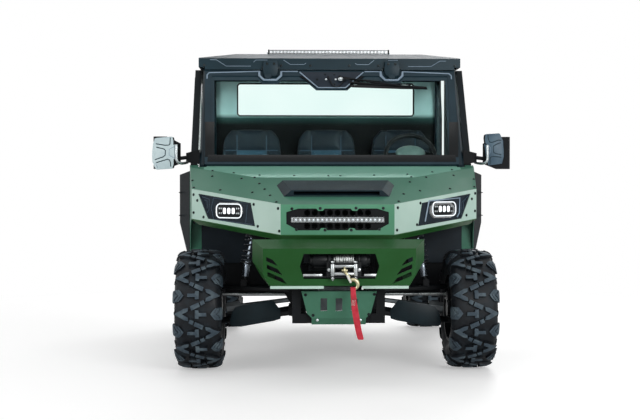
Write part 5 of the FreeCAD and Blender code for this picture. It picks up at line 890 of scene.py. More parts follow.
def build_screen_print():
    """Dark printed border round the inside of the windshield's opening."""
    head, foot = 42.0, 665.0
    strips = [
        [(-726, -head), (-709, -head), (-690, -foot), (-706, -foot)],
        [(726, -head), (709, -head), (690, -foot), (706, -foot)],
        [(-709, -head), (709, -head), (709, -74), (-709, -74)],
        [(-690, -654), (690, -654), (690, -foot), (-690, -foot)],
    ]
    pieces = [plate("print", [(x * MM, y * MM) for x, y in strip], 0.4 * MM,
                    SCREEN @ Matrix.Translation((0, 0, -5.9 * MM))) for strip in strips]
    for centre in HINGE_CENTRES:
        skirt = [(centre + dx, py) for dx, py in ((-14, 79), (-8.6, 84.2), (7.4, 84.2), (13, 79))]
        pieces.append(traced("print", SCREEN, skirt, -5.9, 0.5))
    pieces.append(traced("print", SCREEN, WIPER_SKIRT, -5.9, 0.5))
    fitted("screen_print", pieces, "frit_teal")
    lower = [(x * MM, y * MM) for x, y in ((-728, -640), (728, -640), (730, -690), (-730, -690))]
    gasket = [plate("gasket", lower, 0.8 * MM, SCREEN @ Matrix.Translation((0, 0, 0.3 * MM)), 0.3)]
    for outer, inner in ((205.2, 214.6), (458.8, 449.4)):
        side = [(outer, 122), (inner, 122), (inner, 157), (outer, 157)]
        gasket.append(traced("gasket", SCREEN, side, 0.2, 0.6, 0.2))
    fitted("screen_gasket", gasket, "frit_black")


def build_screen_hinges(sizes):
    """Seal bead along the windshield's head with its cups, pale with a painted highlight, and the hinge blocks
    with pins and bolts.
    """
    radius_mm = sizes.screen_seal_radius / MM
    # The seal's pale tone is a painted highlight along the gap between roof brow and glass
    beads = [traced_line("bead", SCREEN, line, 1.5, radius_mm) for line in (SEAL_LEFT, SEAL_RIGHT)]
    cups = []
    for centre in HINGE_CENTRES:
        cup = [(centre + dx, py) for dx, py in ((-11.3, 72), (-11.3, 76), (-6.8, 80.2), (5.8, 80.2),
                                                (10.4, 76), (10.4, 72))]
        cups.append(traced_line("cup", SCREEN, cup, 3.0, 7.5))
    fitted("screen_seal", beads + cups, "seal_blue", smooth=50.0)
    blocks, pins, bolts = [], [], []
    for centre in HINGE_CENTRES:
        outline = [(centre + px - HINGE_CENTRES[0], py) for px, py in HINGE_BLOCK]
        blocks.append(traced("hinge", BROW, outline, 0.0, 24.0, 3.0))
        x, y = on_plane(BROW, centre, 68.5, 0.010)
        pins.append(drum("pin", BROW @ Vector((x, y, 0.008)), 0.0085, 0.108, ACROSS, 20, 1.5))
        for dx in (-3.6, 3.4):
            x, y = on_plane(BROW, centre + dx, 64.0, 0.024)
            bolts.append(BROW @ Matrix.Translation((x, y, 0.0238)))
    fitted("screen_hinges", blocks, "screen_frame")
    fitted("screen_hinge_pins", pins, "fastener")
    finished(copies(button_bolt(6.5), "screen_hinge_bolts", bolts), "chassis", "fastener")


def build_wiper():
    """Wiper's motor cover with its bright rim and bolts, spindle ball, arm edge and blade rubber."""
    cover = traced("cover", SCREEN, WIPER_FACE, 2.1, 2.4, 0.8)
    finished(cover, "chassis", "navy_plastic")
    finished(traced_line("wiper_rim", SCREEN, WIPER_FACE, 3.5, 4.0), "chassis", "seal_blue", smooth=50.0)
    dark = [(317, 79.7), (325, 74.6), (334.2, 74.6), (334.5, 84)]
    bright = [(326, 79.6), (335.6, 79.6)]
    for name, spots, finish in (("wiper_bolts", dark, "fastener"), ("wiper_studs", bright, "bright_edge")):
        places = [SCREEN @ Matrix.Translation((*on_plane(SCREEN, px, py, 0.0045), 0.0044))
                  for px, py in spots]
        finished(copies(button_bolt(5.0), name, places), "chassis", finish)
    centre = SCREEN @ Vector((*on_plane(SCREEN, 340.4, 79.2, 0.02), 0.022))
    knob = ball("ball", centre, 0.0115, 24, 16)
    collar = ring("collar", centre, 0.0125, 0.0028, SCREEN.to_euler(), 32, 10)
    fitted("wiper_ball", [knob, collar], "bright_edge", smooth=50.0)
    arm = traced_line("arm", SCREEN, [(341, 79.6), (352.8, 78.9), (372, 80.6), (390.4, 82.4), (411, 85.2)],
                      24.0, 2.6)
    finished(arm, "chassis", "fastener", smooth=50.0)
    blade = traced("blade", SCREEN, [(349.8, 85.9), (386, 84.4), (405, 87), (428, 89.4), (404, 89.2),
                                     (352, 87.6)], 7.0, 8.0, 1.2)
    finished(blade, "chassis", "soft_grip")


CABLE_ROUTE = [(-12, 48, 5.4), (-12, 66, 16), (0, 92, 18), (16, 140, 18), (48, 142, 18), (72, 112, 17),
               (84, 96, 14), (94, 84, 5.4)]  # across, down the glass and out from it, in millimetres


def cord_curve(name, points, radius):
    """Cord as one smooth spline led by these points."""
    obj = curve_through(name, points, radius, 4, "NURBS")
    spline = obj.data.splines[0]
    spline.order_u = 3
    spline.use_endpoint_u = True
    spline.resolution_u = 12
    return obj


def build_wiper_cable():
    """Cable that loops from the wiper's cover down over the glass."""
    points = [SCREEN @ Vector((x * MM, -down * MM, out * MM)) for x, down, out in CABLE_ROUTE]
    cable = cord_curve("wiper_cord", points, 0.0035)
    clad(cable, "cable_jacket")
    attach(cable, "chassis")
    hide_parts("wiper_cable")


WINCH_MIDDLE = (22.0, -540.0, 628.0)  # across, behind the front axle and up, in millimetres
FAIRLEAD_MIDDLE = (22.0, -640.0, 584.0)
HOOK_BOWL = (66.0, -655.0, 512.0)


def wound_turns(name, x0, x1, coil_r, wire_r, pitch):
    """Rope wound round the drum between two places across, in millimetres."""
    middle_x, station, z = WINCH_MIDDLE
    count = int(abs(x1 - x0) / pitch * 20)
    points = []
    for n in range(count + 1):
        turn = 2 * math.pi * n / 20
        points.append(spot(x0 + (x1 - x0) * n / count, station + coil_r * math.cos(turn),
                           z + coil_r * math.sin(turn)))
    return sweep(name, points, wire_r * MM, 8)


def build_winch():
    """Wound rope, drum cheeks, motor and gearbox covers with their bolts, and the bright deck edge."""
    layers = [wound_turns("layer", -29, 79, 34.5, 5.2, 10.6), wound_turns("layer", 76, -6, 44.0, 5.0, 10.8),
              wound_turns("layer", -24, 22, 45.0, 4.6, 22.0)]
    fitted("winch_rope", layers, "rope_steel", smooth=60.0)
    x, station, z = WINCH_MIDDLE
    shells = [drum("cover", spot(x0, station, z), radius * MM, length * MM, ACROSS, 40, 3.0)
              for x0, radius, length in ((-99, 38, 74), (-51, 45, 12), (-143, 29, 16), (101, 45, 12),
                                         (125, 40, 34), (150, 30, 14))]
    for n in range(12):
        angle = 2 * math.pi * n / 12
        y = station + 39 * math.cos(angle)
        shells.append(block("rib", spot(-99, y, z + 39 * math.sin(angle)), (0.060, 0.004, 0.004),
                            (angle, 0, 0), 1.0))
    fitted("winch_covers", shells, "winch_black")
    bolts = []
    for x0 in (-147, 153):
        for n in range(6):
            angle = 2 * math.pi * (n + 0.5) / 6
            centre = spot(x0, station + 21 * math.cos(angle), z + 21 * math.sin(angle))
            bolts.append(drum("bolt", centre, 3.2 * MM, 12 * MM, ACROSS, 12, 0.8))
    fitted("winch_bolts", bolts, "fastener")
    edges = [block("edge", spot(x0, -607, 554), (length * MM, 0.006, 0.016), round_mm=1.6)
             for x0, length in ((-137, 98), (156, 62))]
    fitted("winch_deck_edge", edges, "zinc_steel")


def build_fairlead():
    """Bright rollers with their end nuts, washers and the two frame bolts."""
    x, station, z = FAIRLEAD_MIDDLE
    bright, dark = [], []
    for reach in (-58, 58):
        bright.append(drum("roller", spot(x + reach, station, z), 11.6 * MM, 0.062, sides=32, round_mm=2.0))
        for height, length in ((-40, 10), (40, 10)):
            bright.append(drum("nut", spot(x + reach, station, z + height), 9.5 * MM, length * MM, sides=6,
                               round_mm=0.8))
        clear_selection()
        bpy.ops.mesh.primitive_cone_add(vertices=24, radius1=8.0 * MM, radius2=2.0 * MM, depth=0.010,
                                        rotation=(math.pi, 0, 0), location=spot(x + reach, station, z - 50))
        bright.append(placed("tip"))
    for rise in (-20, 20):
        bright.append(drum("roller", spot(x, station + 4, z + rise), 10.6 * MM, 0.100, ACROSS, 32, 1.5))
    for reach in (-76.2, 76.2):
        bright.append(drum("head", spot(x + reach, -626, z), 9.4 * MM, 0.009, ALONG, 6, 1.2))
        dark.append(drum("washer", spot(x + reach, -622, z), 13.0 * MM, 0.003, ALONG, 28, 0.6))
    fitted("fairlead_rollers", bright, "zinc_steel")
    fitted("fairlead_washers", dark, "fastener")


def build_hook():
    """Forged hook with its eye, swelling bowl, fine tip and white keeper."""
    x, station, z = HOOK_BOWL
    shank = [spot(24, -622, 584), spot(24, -640, 584), spot(26, -650, 580), spot(34, station, 566),
             spot(45, station, 550)]
    radii = [5.0, 6.0, 7.0, 7.5, 8.0]
    bowl, bowl_radii = [], []
    for n in range(15):
        share = n / 14
        angle = math.radians(125 - 205 * share)
        bowl.append(spot(x + 25 * math.cos(angle), station, z + 25 * math.sin(angle)))
        bowl_radii.append(8.0 + 2.5 * math.sin(math.pi * share) - 4.5 * share ** 4)
    body = sweep("hook", shank + bowl, 0.0, 16, swell=[radius * MM for radius in radii + bowl_radii])
    eye = ring("eye", spot(24, -648, 583), 0.0125, 0.0052, ACROSS, 36, 12)
    pin = drum("pin", spot(24, -648, 583), 0.0052, 0.030, ACROSS, 20, 1.0)
    hook = merged("hook_body", [body, eye, pin])
    finished(hook, "chassis", "hook_steel", smooth=60.0)
    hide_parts("tow_hook")
    line = [spot(36, station - 6, 560), spot(46, station - 8, 540), spot(55, station - 8, 522)]
    keeper = sweep("hook_keeper", line, 0.0, 16, swell=[5.5 * MM, 6.5 * MM, 5.5 * MM])
    finished(keeper, "chassis", "keeper_white", smooth=60.0)


STRAP_WIDTH = 32.4  # in millimetres, as the places below
STRAP_TAIL = [(69, -646.8, 440), (74, -646.8, 400), (80, -647.4, 360), (86, -648, 325), (92, -648, 290),
              (99, -647.4, 260), (106, -646.8, 232)]
STRAP_LOOP = [(66, -646.8, 470), (66, -648, 494), (66, -655.5, 500.5), (66, -663.4, 494), (67, -663.8, 470),
              (69, -662, 450), (70, -650.6, 436)]


def build_strap():
    """Red webbing strap looped through the hook's bowl, with its stitching, hanging over the skid plate."""
    line = [(106, -649.2, 232)] + list(reversed(STRAP_TAIL))[1:] + STRAP_LOOP
    clear_selection()
    bpy.ops.mesh.primitive_grid_add(x_subdivisions=4, y_subdivisions=len(line) - 1, size=1.0)
    strap = placed("pull_strap_cloth")
    rows = sorted({round(vertex.co.y, 4) for vertex in strap.data.vertices})
    for vertex in strap.data.vertices:
        x, station, z = line[rows.index(round(vertex.co.y, 4))]
        narrow = 1.0 if z < 440 else 0.8
        vertex.co = spot(x + vertex.co.x * STRAP_WIDTH * narrow,
                         station - 1.2 * math.cos(math.pi * vertex.co.x), z)
    pick(strap)
    round_off = strap.modifiers.new("round", "SUBSURF")
    round_off.levels = 2
    bpy.ops.object.modifier_apply(modifier=round_off.name)
    thick = strap.modifiers.new("thick", "SOLIDIFY")
    thick.thickness = 2.0 * MM
    thick.offset = 0.0
    bpy.ops.object.modifier_apply(modifier=thick.name)
    rounded(strap, 0.5, 2, 60.0)
    finished(strap, "chassis", "red_webbing")
    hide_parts("pull_strap")
    stitches = []
    for row in range(6):
        for column in (-1, 0, 1):
            centre = spot(70 + column * 7 - row * 0.6, -651.6, 432 - row * 5)
            stitches.append(block("stitch", centre, (0.0046, 0.0016, 0.0012), (0, 0.5, 0)))
    fitted("strap_stitches", stitches, "keeper_white", smooth=0)


def build_front_depth():
    """Radiator fins behind the bumper and the skid plate's lower bolts."""
    fins = [block("fin", spot(0, -334, 566 + 9 * n), (0.296, 0.008, 0.0022)) for n in range(20)]
    fins += [block("tube", spot(-140 + 20 * n, -331, 652), (0.003, 0.004, 0.182)) for n in range(15)]
    fitted("radiator_fins", fins, "core_alloy", smooth=0)
    heads = [drum("head", spot(x, -527, 319), 7.5 * MM, 0.008, ALONG, 6, 1.2) for x in (-111, 111)]
    fitted("skid_heads", heads, "bright_edge")


SEAT_PLACES = (-0.498, 0.0, 0.498)
SEAM_REACH = 0.098
STEERING_TILT = math.radians(35.0)


def middle_solid(node_name, half_mm):
    """Copy of the solid of a node that stands over the middle line, its loose triangles merged."""
    copy = copy_of(frame["nodes"][node_name], "soft")
    pick(copy)
    bpy.ops.object.mode_set(mode="EDIT")
    bpy.ops.mesh.select_all(action="DESELECT")
    bpy.ops.object.mode_set(mode="OBJECT")
    for vertex in copy.data.vertices:
        vertex.select = abs(vertex.co.x) > half_mm * MM
    bpy.ops.object.mode_set(mode="EDIT")
    bpy.ops.mesh.delete(type="VERT")
    bpy.ops.object.mode_set(mode="OBJECT")
    return edit(copy, lambda: bpy.ops.mesh.remove_doubles(threshold=0.0001),
                lambda: bpy.ops.mesh.normals_make_consistent(inside=False))


def drawn_in(pad, anchor, shrink_mm):
    """Draws a pad in about a fixed point before it swells."""
    sizes = pad.dimensions
    scale = [1.0 - shrink * MM / size for shrink, size in zip(shrink_mm, sizes)]
    about = Matrix.Translation(anchor)
    pad.data.transform(about @ Matrix.Diagonal((*scale, 1.0)) @ about.inverted())


def swollen(pad, held, stitched, cap):
    """Fills a pad by cloth pressure between its held base and its stitched lines."""
    pick(pad)
    pad.data.remesh_voxel_size = 0.009
    bpy.ops.object.voxel_remesh()
    pins = pad.vertex_groups.new(name="held")
    for vertex in pad.data.vertices:
        if stitched(vertex.co):
            vertex.co -= vertex.normal * 0.007
            pins.add([vertex.index], 1.0, "REPLACE")
        elif held(vertex.co):
            pins.add([vertex.index], 1.0, "REPLACE")
    start = [vertex.co.copy() for vertex in pad.data.vertices]
    cloth = pad.modifiers.new("swell", "CLOTH")
    cloth.settings.use_pressure = True
    cloth.settings.uniform_pressure_force = 4.0
    cloth.settings.effector_weights.gravity = 0.0
    cloth.settings.vertex_group_mass = "held"
    cloth.point_cache.frame_end = 20
    for moment in range(1, 21):
        bpy.context.scene.frame_set(moment)
    bpy.ops.object.modifier_apply(modifier=cloth.name)
    bpy.context.scene.frame_set(1)
    for vertex, origin in zip(pad.data.vertices, start):
        moved = vertex.co - origin
        if moved.length > cap:
            vertex.co = origin + moved.normalized() * cap
    smoother = pad.modifiers.new("smooth", "SUBSURF")
    smoother.levels = 1
    bpy.ops.object.modifier_apply(modifier=smoother.name)
    return pad


def bead_over(pad, starts, way, radius):
    """Piping laid on a pad where rays along one way meet it."""
    points = []
    for start in starts:
        met, place, normal, face = pad.ray_cast(Vector(start), Vector(way))
        if met:
            points.append(place - Vector(way) * radius * 0.4)
    return sweep("piping", points, radius, 8)


def spread_seats(model, name, padded=False):
    """The seats' three copies of one pad, each with its own mesh."""
    for label, x in zip(("left", "middle", "right"), SEAT_PLACES):
        pad = copy_of(model, f"{name}_{label}", Matrix.Translation((x, 0.0, 0.0)))
        for material in list(model.data.materials)[1:]:
            pad.data.materials.append(material)
        finished(pad, "chassis", None, smooth=60.0)
        if padded:
            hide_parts(name)
    bpy.data.objects.remove(model)


def by_seam(co):
    """Whether a point lies along one of a seat's two long seams."""
    return abs(abs(co.x) - SEAM_REACH) < 0.006


def between_seams(co):
    """Whether a point lies between a seat's two long seams."""
    return abs(co.x) < SEAM_REACH


def build_seats(sizes):
    """Three cushions and three backs swollen by cloth pressure, with a panel between two piped seams."""
    low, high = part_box("seat_cushions")
    cushion = middle_solid("seat_cushions", 240)
    drawn_in(cushion, Vector((0.0, (low.y + high.y) / 2, low.z)), (26, 26, 12))
    cross = low.y + 0.100
    swollen(cushion, lambda co: co.z < low.z + 0.010,
            lambda co: co.z > low.z + 0.050 and (by_seam(co) or abs(co.y - cross) < 0.006),
            sizes.seat_swell)
    steps = [n / 24 for n in range(25)]
    run = high.y - low.y - 0.100
    lines = [[(x, low.y + 0.040 + run * s, 1.5) for s in steps] for x in (-SEAM_REACH, SEAM_REACH)]
    lines.append([(-0.185 + 0.370 * s, cross, 1.5) for s in steps])
    piping = merged("piping", [bead_over(cushion, line, (0, 0, -1), sizes.piping_radius) for line in lines])
    dress_panel(cushion, lambda face: face.normal.z > 0.3 and between_seams(face.center)
                and face.center.y > cross)
    spread_seats(cushion, "seat_cushions", padded=True)
    clad(piping, "seat_piping")
    spread_seats(piping, "cushion_piping")

    low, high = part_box("seat_backs")
    back = middle_solid("seat_backs", 240)
    drawn_in(back, Vector((0.0, high.y, (low.z + high.z) / 2)), (24, 14, 24))
    brow = high.z - 0.150
    swollen(back, lambda co: co.y > high.y - 0.010,
            lambda co: co.y < high.y - 0.030 and (by_seam(co) or abs(co.z - brow) < 0.006
                                                  or abs(co.z - brow + 0.190) < 0.006 and between_seams(co)),
            sizes.seat_swell)
    rise = high.z - low.z - 0.110
    lines = [[(x, 0.0, low.z + 0.060 + rise * s) for s in steps] for x in (-SEAM_REACH, SEAM_REACH)]
    lines.append([(-0.175 + 0.350 * s, 0.0, brow) for s in steps])
    piping = merged("piping", [bead_over(back, line, (0, 1, 0), sizes.piping_radius) for line in lines])
    dress_panel(back, lambda face: face.normal.y < -0.3 and between_seams(face.center)
                and face.center.z < brow)
    spread_seats(back, "seat_backs", padded=True)
    clad(piping, "seat_piping")
    spread_seats(piping, "back_piping")


def dress_panel(pad, inside):
    """Seat vinyl over a pad and a lighter panel on the faces that a test picks."""
    clad(pad, "seat_vinyl")
    pad.data.materials.append(MATERIALS["seat_panel"])
    for face in pad.data.polygons:
        face.material_index = int(inside(face))


def build_steering_wheel(sizes):
    """Steering wheel with a moulded rim, thumb grips, three spokes and a wide domed hub pad."""
    centre = mid("steering_wheel")
    seat = Matrix.Translation(centre) @ Matrix.Rotation(math.pi / 2 - STEERING_TILT, 4, "X")
    turn = seat.to_euler()
    reach = sizes.steering_radius
    rim = ring("rim", centre, reach, 0.0135, turn, 64, 14)
    grips = []
    for angle in (0.25, math.pi - 0.25, math.pi / 2 + 0.5, math.pi / 2 - 0.5):
        place = seat @ Vector((reach * math.cos(angle), reach * math.sin(angle), 0.0))
        grips.append(ball("grip", place, 0.0155, 20, 12))
    wheel = fitted("steering_rim", [rim] + grips, "soft_grip", "steering_wheel", smooth=60.0)
    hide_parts("steering_wheel")
    spokes = []
    for angle in (0.0, math.pi, -math.pi / 2):
        outline = [(0.030, -0.022), (0.146, -0.012), (0.146, 0.012), (0.030, 0.022)]
        spokes.append(plate("spoke", outline, 0.008, seat @ Matrix.Rotation(angle, 4, "Z")
                            @ Matrix.Translation((0.0, 0.0, -0.004)), 2.0))
    fitted("steering_spokes", spokes, "black_plastic", "steering_wheel")
    hub = drum("hub", centre, 0.046, 0.052, turn, 40, 6.0)
    dome = ball("dome", (0.0, 0.0, 0.0), 0.040, 40, 20)
    dome.data.transform(seat @ Matrix.Translation((0.0, 0.006, 0.012))
                        @ Matrix.Diagonal((2.3, 1.3, 0.8, 1.0)))
    fitted("steering_hub", [hub, dome], "hub_grey", "steering_wheel", smooth=50.0)


def build_dash():
    """Display, switches, vents and the glovebox lid of the dash."""
    lean = Matrix.Rotation(math.radians(-8.0), 4, "X")
    glass = block("glass", (0.0, 0.0, 0.0), (0.190, 0.004, 0.064), round_mm=1.0)
    glass.data.transform(Matrix.Translation(spot(0, 625, 1112)) @ lean)
    finished(glass, "chassis", "frit_black")
    frame_bars = [block("bar", (dx, 0.0, dz), size, round_mm=1.0)
                  for dx, dz, size in ((-0.100, 0, (0.006, 0.008, 0.074)), (0.100, 0, (0.006, 0.008, 0.074)),
                                       (0, 0.035, (0.206, 0.008, 0.006)), (0, -0.035, (0.206, 0.008, 0.006)))]
    surround = merged("display_frame", frame_bars)
    surround.data.transform(Matrix.Translation(spot(0, 625, 1112)) @ lean)
    finished(surround, "chassis", "black_plastic")
    slats, rims = [], []
    for x in (-620, -330, 250, 640):
        for n in range(5):
            slats.append(block("slat", spot(x, 612, 1022 + 9 * n), (0.074, 0.010, 0.0025), (0.3, 0, 0), 0.4))
        rims.append(ring("rim", spot(x, 612, 1040), 0.043, 0.0045, (math.pi / 2 - 0.15, 0, 0), 40, 8))
    fitted("vent_slats", slats, "black_plastic")
    fitted("vent_rims", rims, "bright_edge", smooth=60.0)
    switches = [block("switch", spot(-80 + 32 * n, 609, 1010), (0.024, 0.010, 0.036), (-0.15, 0, 0), 1.5)
                for n in range(6)]
    fitted("dash_switches", switches, "soft_grip")
    lid = block("lid", spot(-440, 596, 945), (0.360, 0.006, 0.110), (-0.17, 0, 0), 2.5)
    finished(lid, "chassis", "black_plastic")
    finished(block("glovebox_latch", spot(-440, 603, 985), (0.060, 0.008, 0.014), (-0.17, 0, 0), 2.0),
             "chassis", "bright_edge")


LEFT_CROP = ((148.0, 128.0), 34.08)  # corner in the picture, and the enlargement
LEFT_SHELL = [(300, 345), (800, 300), (880, 320), (925, 400), (930, 640), (930, 1010), (930, 1250),
              (870, 1385), (300, 1425), (240, 1330), (170, 1150), (160, 900), (190, 560), (250, 370)]
LEFT_BEADS = {
    "grooves": [[(775, 330), (765, 540), (720, 590), (600, 595), (290, 545)], [(300, 660), (430, 690),
                (560, 720), (610, 770), (605, 930), (540, 985), (250, 1085)], [(300, 1185), (560, 1105),
                (680, 1070), (750, 1095), (780, 1180), (790, 1320)]],
    "creases": [[(905, 640), (830, 680), (740, 730), (735, 920), (800, 975), (920, 1030)], [(285, 1200),
                (340, 1360)]],
    "edges": [[(870, 330), (898, 420), (898, 570)], [(905, 1060), (905, 1250), (868, 1370)]],
}
RIGHT_CROP = ((476.0, 128.0), 37.08)  # corner in the picture, and the enlargement
RIGHT_SHELL = [(350, 225), (850, 190), (900, 200), (1020, 460), (1045, 800), (1050, 1050), (985, 1320),
               (470, 1395), (395, 1240), (365, 900), (310, 560), (305, 380)]
RIGHT_BEADS = {
    "grooves": [[(460, 240), (480, 420), (530, 520), (600, 530), (700, 500), (860, 440), (960, 450)],
                [(940, 540), (800, 590), (670, 660), (665, 760), (680, 900), (760, 945), (960, 990)],
                [(960, 1080), (700, 1050), (590, 1060), (545, 1110), (540, 1370)]],
    "creases": [[(380, 640), (500, 660), (545, 720), (545, 900), (520, 950), (410, 1010)]],
    "edges": [[(345, 250), (322, 380), (345, 560), (400, 620)], [(410, 1040), (412, 1240), (465, 1385)]],
}
# The grooves are dark teal beads: painted shade in the recesses between the covers' raised panels
MIRROR_BEADS = (("grooves", 1.6, 3.9, "frit_teal"), ("creases", 2.6, 2.2, "seal_blue"),
                ("edges", 1.4, 4.6, "black_plastic"))  # height over the face and radius, in millimetres


def build_mirror(side, sign, crop, shell, beads, finish):
    """Mirror housing's moulded front with its grooves, the silvered glass behind it and the bent arm tube."""
    seat = seat_plane(spot(sign * 964, 342, 1204), Vector((0, 0, 1)), Vector((0, -1, 0)))
    cover = traced("cover", seat, crop_points(shell, *crop), -6.0, 10.0, 3.0)
    cover.name = f"mirror_cover_{side}"
    finished(cover, "chassis", finish)
    for kind, out_mm, radius_mm, bead_finish in MIRROR_BEADS:
        lines = [traced_line(kind, seat, crop_points(line, *crop), out_mm, radius_mm) for line in beads[kind]]
        fitted(f"mirror_{kind}_{side}", lines, bead_finish, smooth=60.0)
    bend = [(850, 446, 1150), (862, 410, 1145), (876, 370, 1142), (890, 348, 1144), (901, 338, 1152),
            (906, 335, 1166), (906, 334, 1200), (905, 333, 1246)]
    tube = sweep("tube", [spot(sign * x, station, z) for x, station, z in bend], 8.0 * MM, 16)
    plug = drum("plug", spot(sign * 905, 333, 1247), 8.4 * MM, 0.006, sides=20, round_mm=1.0)
    fitted(f"mirror_arm_{side}", [tube, plug], "bright_edge", smooth=60.0)
    glass = block(f"mirror_glass_{side}", spot(sign * 965, 405.4, 1205), (0.122, 0.002, 0.102), round_mm=0.5)
    finished(glass, "chassis", "mirror_glass")
    bead = [spot(sign * x, 405, z) for x, z in ((903, 1153), (1027, 1153), (1027, 1257), (903, 1257))]
    rim = sweep(f"mirror_rim_{side}", bead, 3.0 * MM, 12, cyclic=True)
    finished(rim, "chassis", "soft_grip", smooth=60.0)


def build_mirrors():
    """Both mirrors, each read off its own side of the photograph."""
    # One plastic on both covers: the left one carries a painted reflection, the right one a painted shade
    build_mirror("left", -1, LEFT_CROP, LEFT_SHELL, LEFT_BEADS, "mirror_painted_reflection")
    build_mirror("right", 1, RIGHT_CROP, RIGHT_SHELL, RIGHT_BEADS, "mirror_painted_shade")


ROOF_LINES = [[(210.4, 60.2), (216.6, 60.2), (226.4, 66.5), (251, 66.5)],
              [(253.7, 62.5), (256, 60.4), (267.5, 60.4)],
              [(283.6, 60.4), (290.3, 64.7), (304, 64.7), (306, 63.4)],
              [(446, 61), (440, 61), (431, 66.5), (408, 66.5)], [(398, 60.4), (388, 60.4)],
              [(374, 60.4), (368.5, 64.7), (357, 64.7), (355, 63.4)]]


def build_roof(sizes):
    """Moulded lines and studs on the roof's brow, and the light bar's lenses, fins, rails, caps and knobs."""
    face = seat_plane(spot(0, 772, 1730), Vector((0, 0, 1)), Vector((0, -1, 0)))
    lines = [traced_line("line", face, line, 0.2, 1.7) for line in ROOF_LINES]
    fitted("roof_lines", lines, "seal_blue", smooth=60.0)
    studs = [drum("stud", spot(sign * x, 769.6, 1752), 7.0 * MM, 0.006, ALONG, 20, 1.2)
             for sign in (-1, 1) for x in (772, 300, 120)]
    fitted("roof_studs", studs, "fastener")
    lamps = [drum("lamp", spot(-352 + 22 * n, 979.4, 1857), sizes.roof_lamp_radius, 0.003, ALONG, 20, 0.6)
             for n in range(33)]
    fitted("roof_bar_lamps", lamps, "led_lens")
    fins = [block("fin", spot(-364 + 13 * n, 1006, 1871), (0.003, 0.028, 0.004)) for n in range(57)]
    fitted("roof_bar_fins", fins, "bar_alloy", smooth=0)
    rails = [block("rail", spot(0, 979, z), (0.744, 0.004, 0.004), round_mm=1.0) for z in (1847.5, 1868)]
    fitted("roof_bar_rails", rails, "fastener")
    caps = [block("cap", spot(sign * 378, 999, 1857), (0.010, 0.042, 0.032), round_mm=3.0)
            for sign in (-1, 1)]
    fitted("roof_bar_caps", caps, "black_plastic")
    knobs = [drum("knob", spot(sign * 386, 998, 1848), 9.0 * MM, 0.010, ACROSS, 24, 2.0) for sign in (-1, 1)]
    fitted("roof_bar_knobs", knobs, "bright_edge")


SHOCK_FOOT, SHOCK_TOP = Vector((505.0, -8.0, 478.0)), Vector((450.0, -8.0, 770.0))
SHOCK_LENGTH = 0.2971  # between the eyes, in metres
WHEELBASE = 2060.0  # between the axles, in millimetres


def coil(radius, low, high, turns):
    """Points of a spring along its own axis with flattened end turns, in metres."""
    points = []
    for n in range(turns * 20 + 1):
        share = n / (turns * 20)
        eased = share - 0.35 * math.sin(2 * math.pi * share) / (2 * math.pi)
        angle = 2 * math.pi * n / 20
        points.append((radius * math.cos(angle), radius * math.sin(angle), low + (high - low) * eased))
    return points


def build_shocks(sizes):
    """Four coil springs over bright dampers, each leaning between its arm and its tower."""
    foot, top = SHOCK_FOOT, SHOCK_TOP
    run = (top - foot).normalized()
    seat = Matrix((run.cross(Vector((0, 1, 0))).normalized(), Vector((0, 1, 0)), run)).transposed().to_4x4()
    places = mirrored_places([Matrix.Translation(spot(foot.x, foot.y + station, foot.z)) @ seat
                              for station in (0.0, WHEELBASE)])
    spring = sweep("spring", coil(sizes.spring_radius, 0.112, 0.262, 6), sizes.spring_wire, 12)
    finished(faced_out(copies(spring, "shock_springs", places)), "chassis", "spring_blue", smooth=60.0)
    rod_parts = [drum("body", (0, 0, 0.075), 0.0195, 0.086, sides=32, round_mm=2.0),
                 drum("rod", (0, 0, 0.190), 0.0110, 0.160, sides=24, round_mm=1.0),
                 drum("ring", (0, 0, 0.100), 0.0240, 0.010, sides=32, round_mm=1.5)]
    damper = copies(merged("damper", rod_parts), "shock_dampers", places)
    finished(faced_out(damper), "chassis", "damper_alloy")
    ends = [drum("seat", (0, 0, 0.108), 0.0390, 0.008, sides=40, round_mm=1.5),
            drum("hat", (0, 0, 0.266), 0.0390, 0.010, sides=40, round_mm=1.5),
            ring("eye", (0, 0, 0), 0.0130, 0.0058, ALONG, 32, 12),
            drum("neck", (0, 0, 0.025), 0.0100, 0.024, sides=20),
            ring("eye", (0, 0, SHOCK_LENGTH), 0.0130, 0.0058, ALONG, 32, 12),
            drum("neck", (0, 0, 0.277), 0.0120, 0.016, sides=20)]
    ends = copies(merged("ends", ends), "shock_ends", places)
    finished(faced_out(ends), "chassis", "shock_black")
    for name in ("shock_springs", "shock_dampers", "shock_ends"):
        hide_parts("shocks")
    heads = [place @ Matrix.Translation((0, out, height)) @ Matrix.Rotation(math.pi / 2, 4, "X")
             for out in (0.0185, -0.0185) for place in places for height in (0.0, SHOCK_LENGTH)]
    nut = drum("nut", (0, 0, 0), 0.0125, 0.007, sides=6, round_mm=1.0)
    finished(faced_out(copies(nut, "shock_nuts", heads)), "chassis", "zinc_steel")


def build_arm_covers():
    """Moulded covers on the front arms and the bumper's lower flange."""
    outline = [(300, 330), (301, 284), (340, 272), (515, 242), (566, 241), (578, 262), (566, 322), (548, 348),
               (515, 357), (430, 371), (356, 384), (338, 380)]
    seat = seat_plane(spot(0, -112.3, 0), Vector((0, 0, 1)), Vector((0, -1, 0)))
    covers = []
    for sign in (1, -1):
        points = [(sign * x * MM, z * MM) for x, z in outline]
        covers.append(plate("cover", points, 0.004, seat, 1.4))
    fitted("arm_covers", covers, "guard_teal")
    flange = [block("flange", spot((x0 + x1) / 2, -606, 494.6), ((x1 - x0) * MM, 0.014, 0.015), round_mm=1.5)
              for x0, x1 in ((-352, -80), (115, 352))]
    fitted("bumper_flange", flange, "panel_mint")


WINDOW_SEAL = [(526.8, 1104), (930.9, 1690), (944, 1693), (1450, 1693), (1458, 1685), (1458, 1108),
               (1450, 1100), (534, 1100)]
SKIN_EDGE = [(1602, 641), (1893, 660), (1903, 667), (2060, 702), (2168, 678), (2488, 700)]


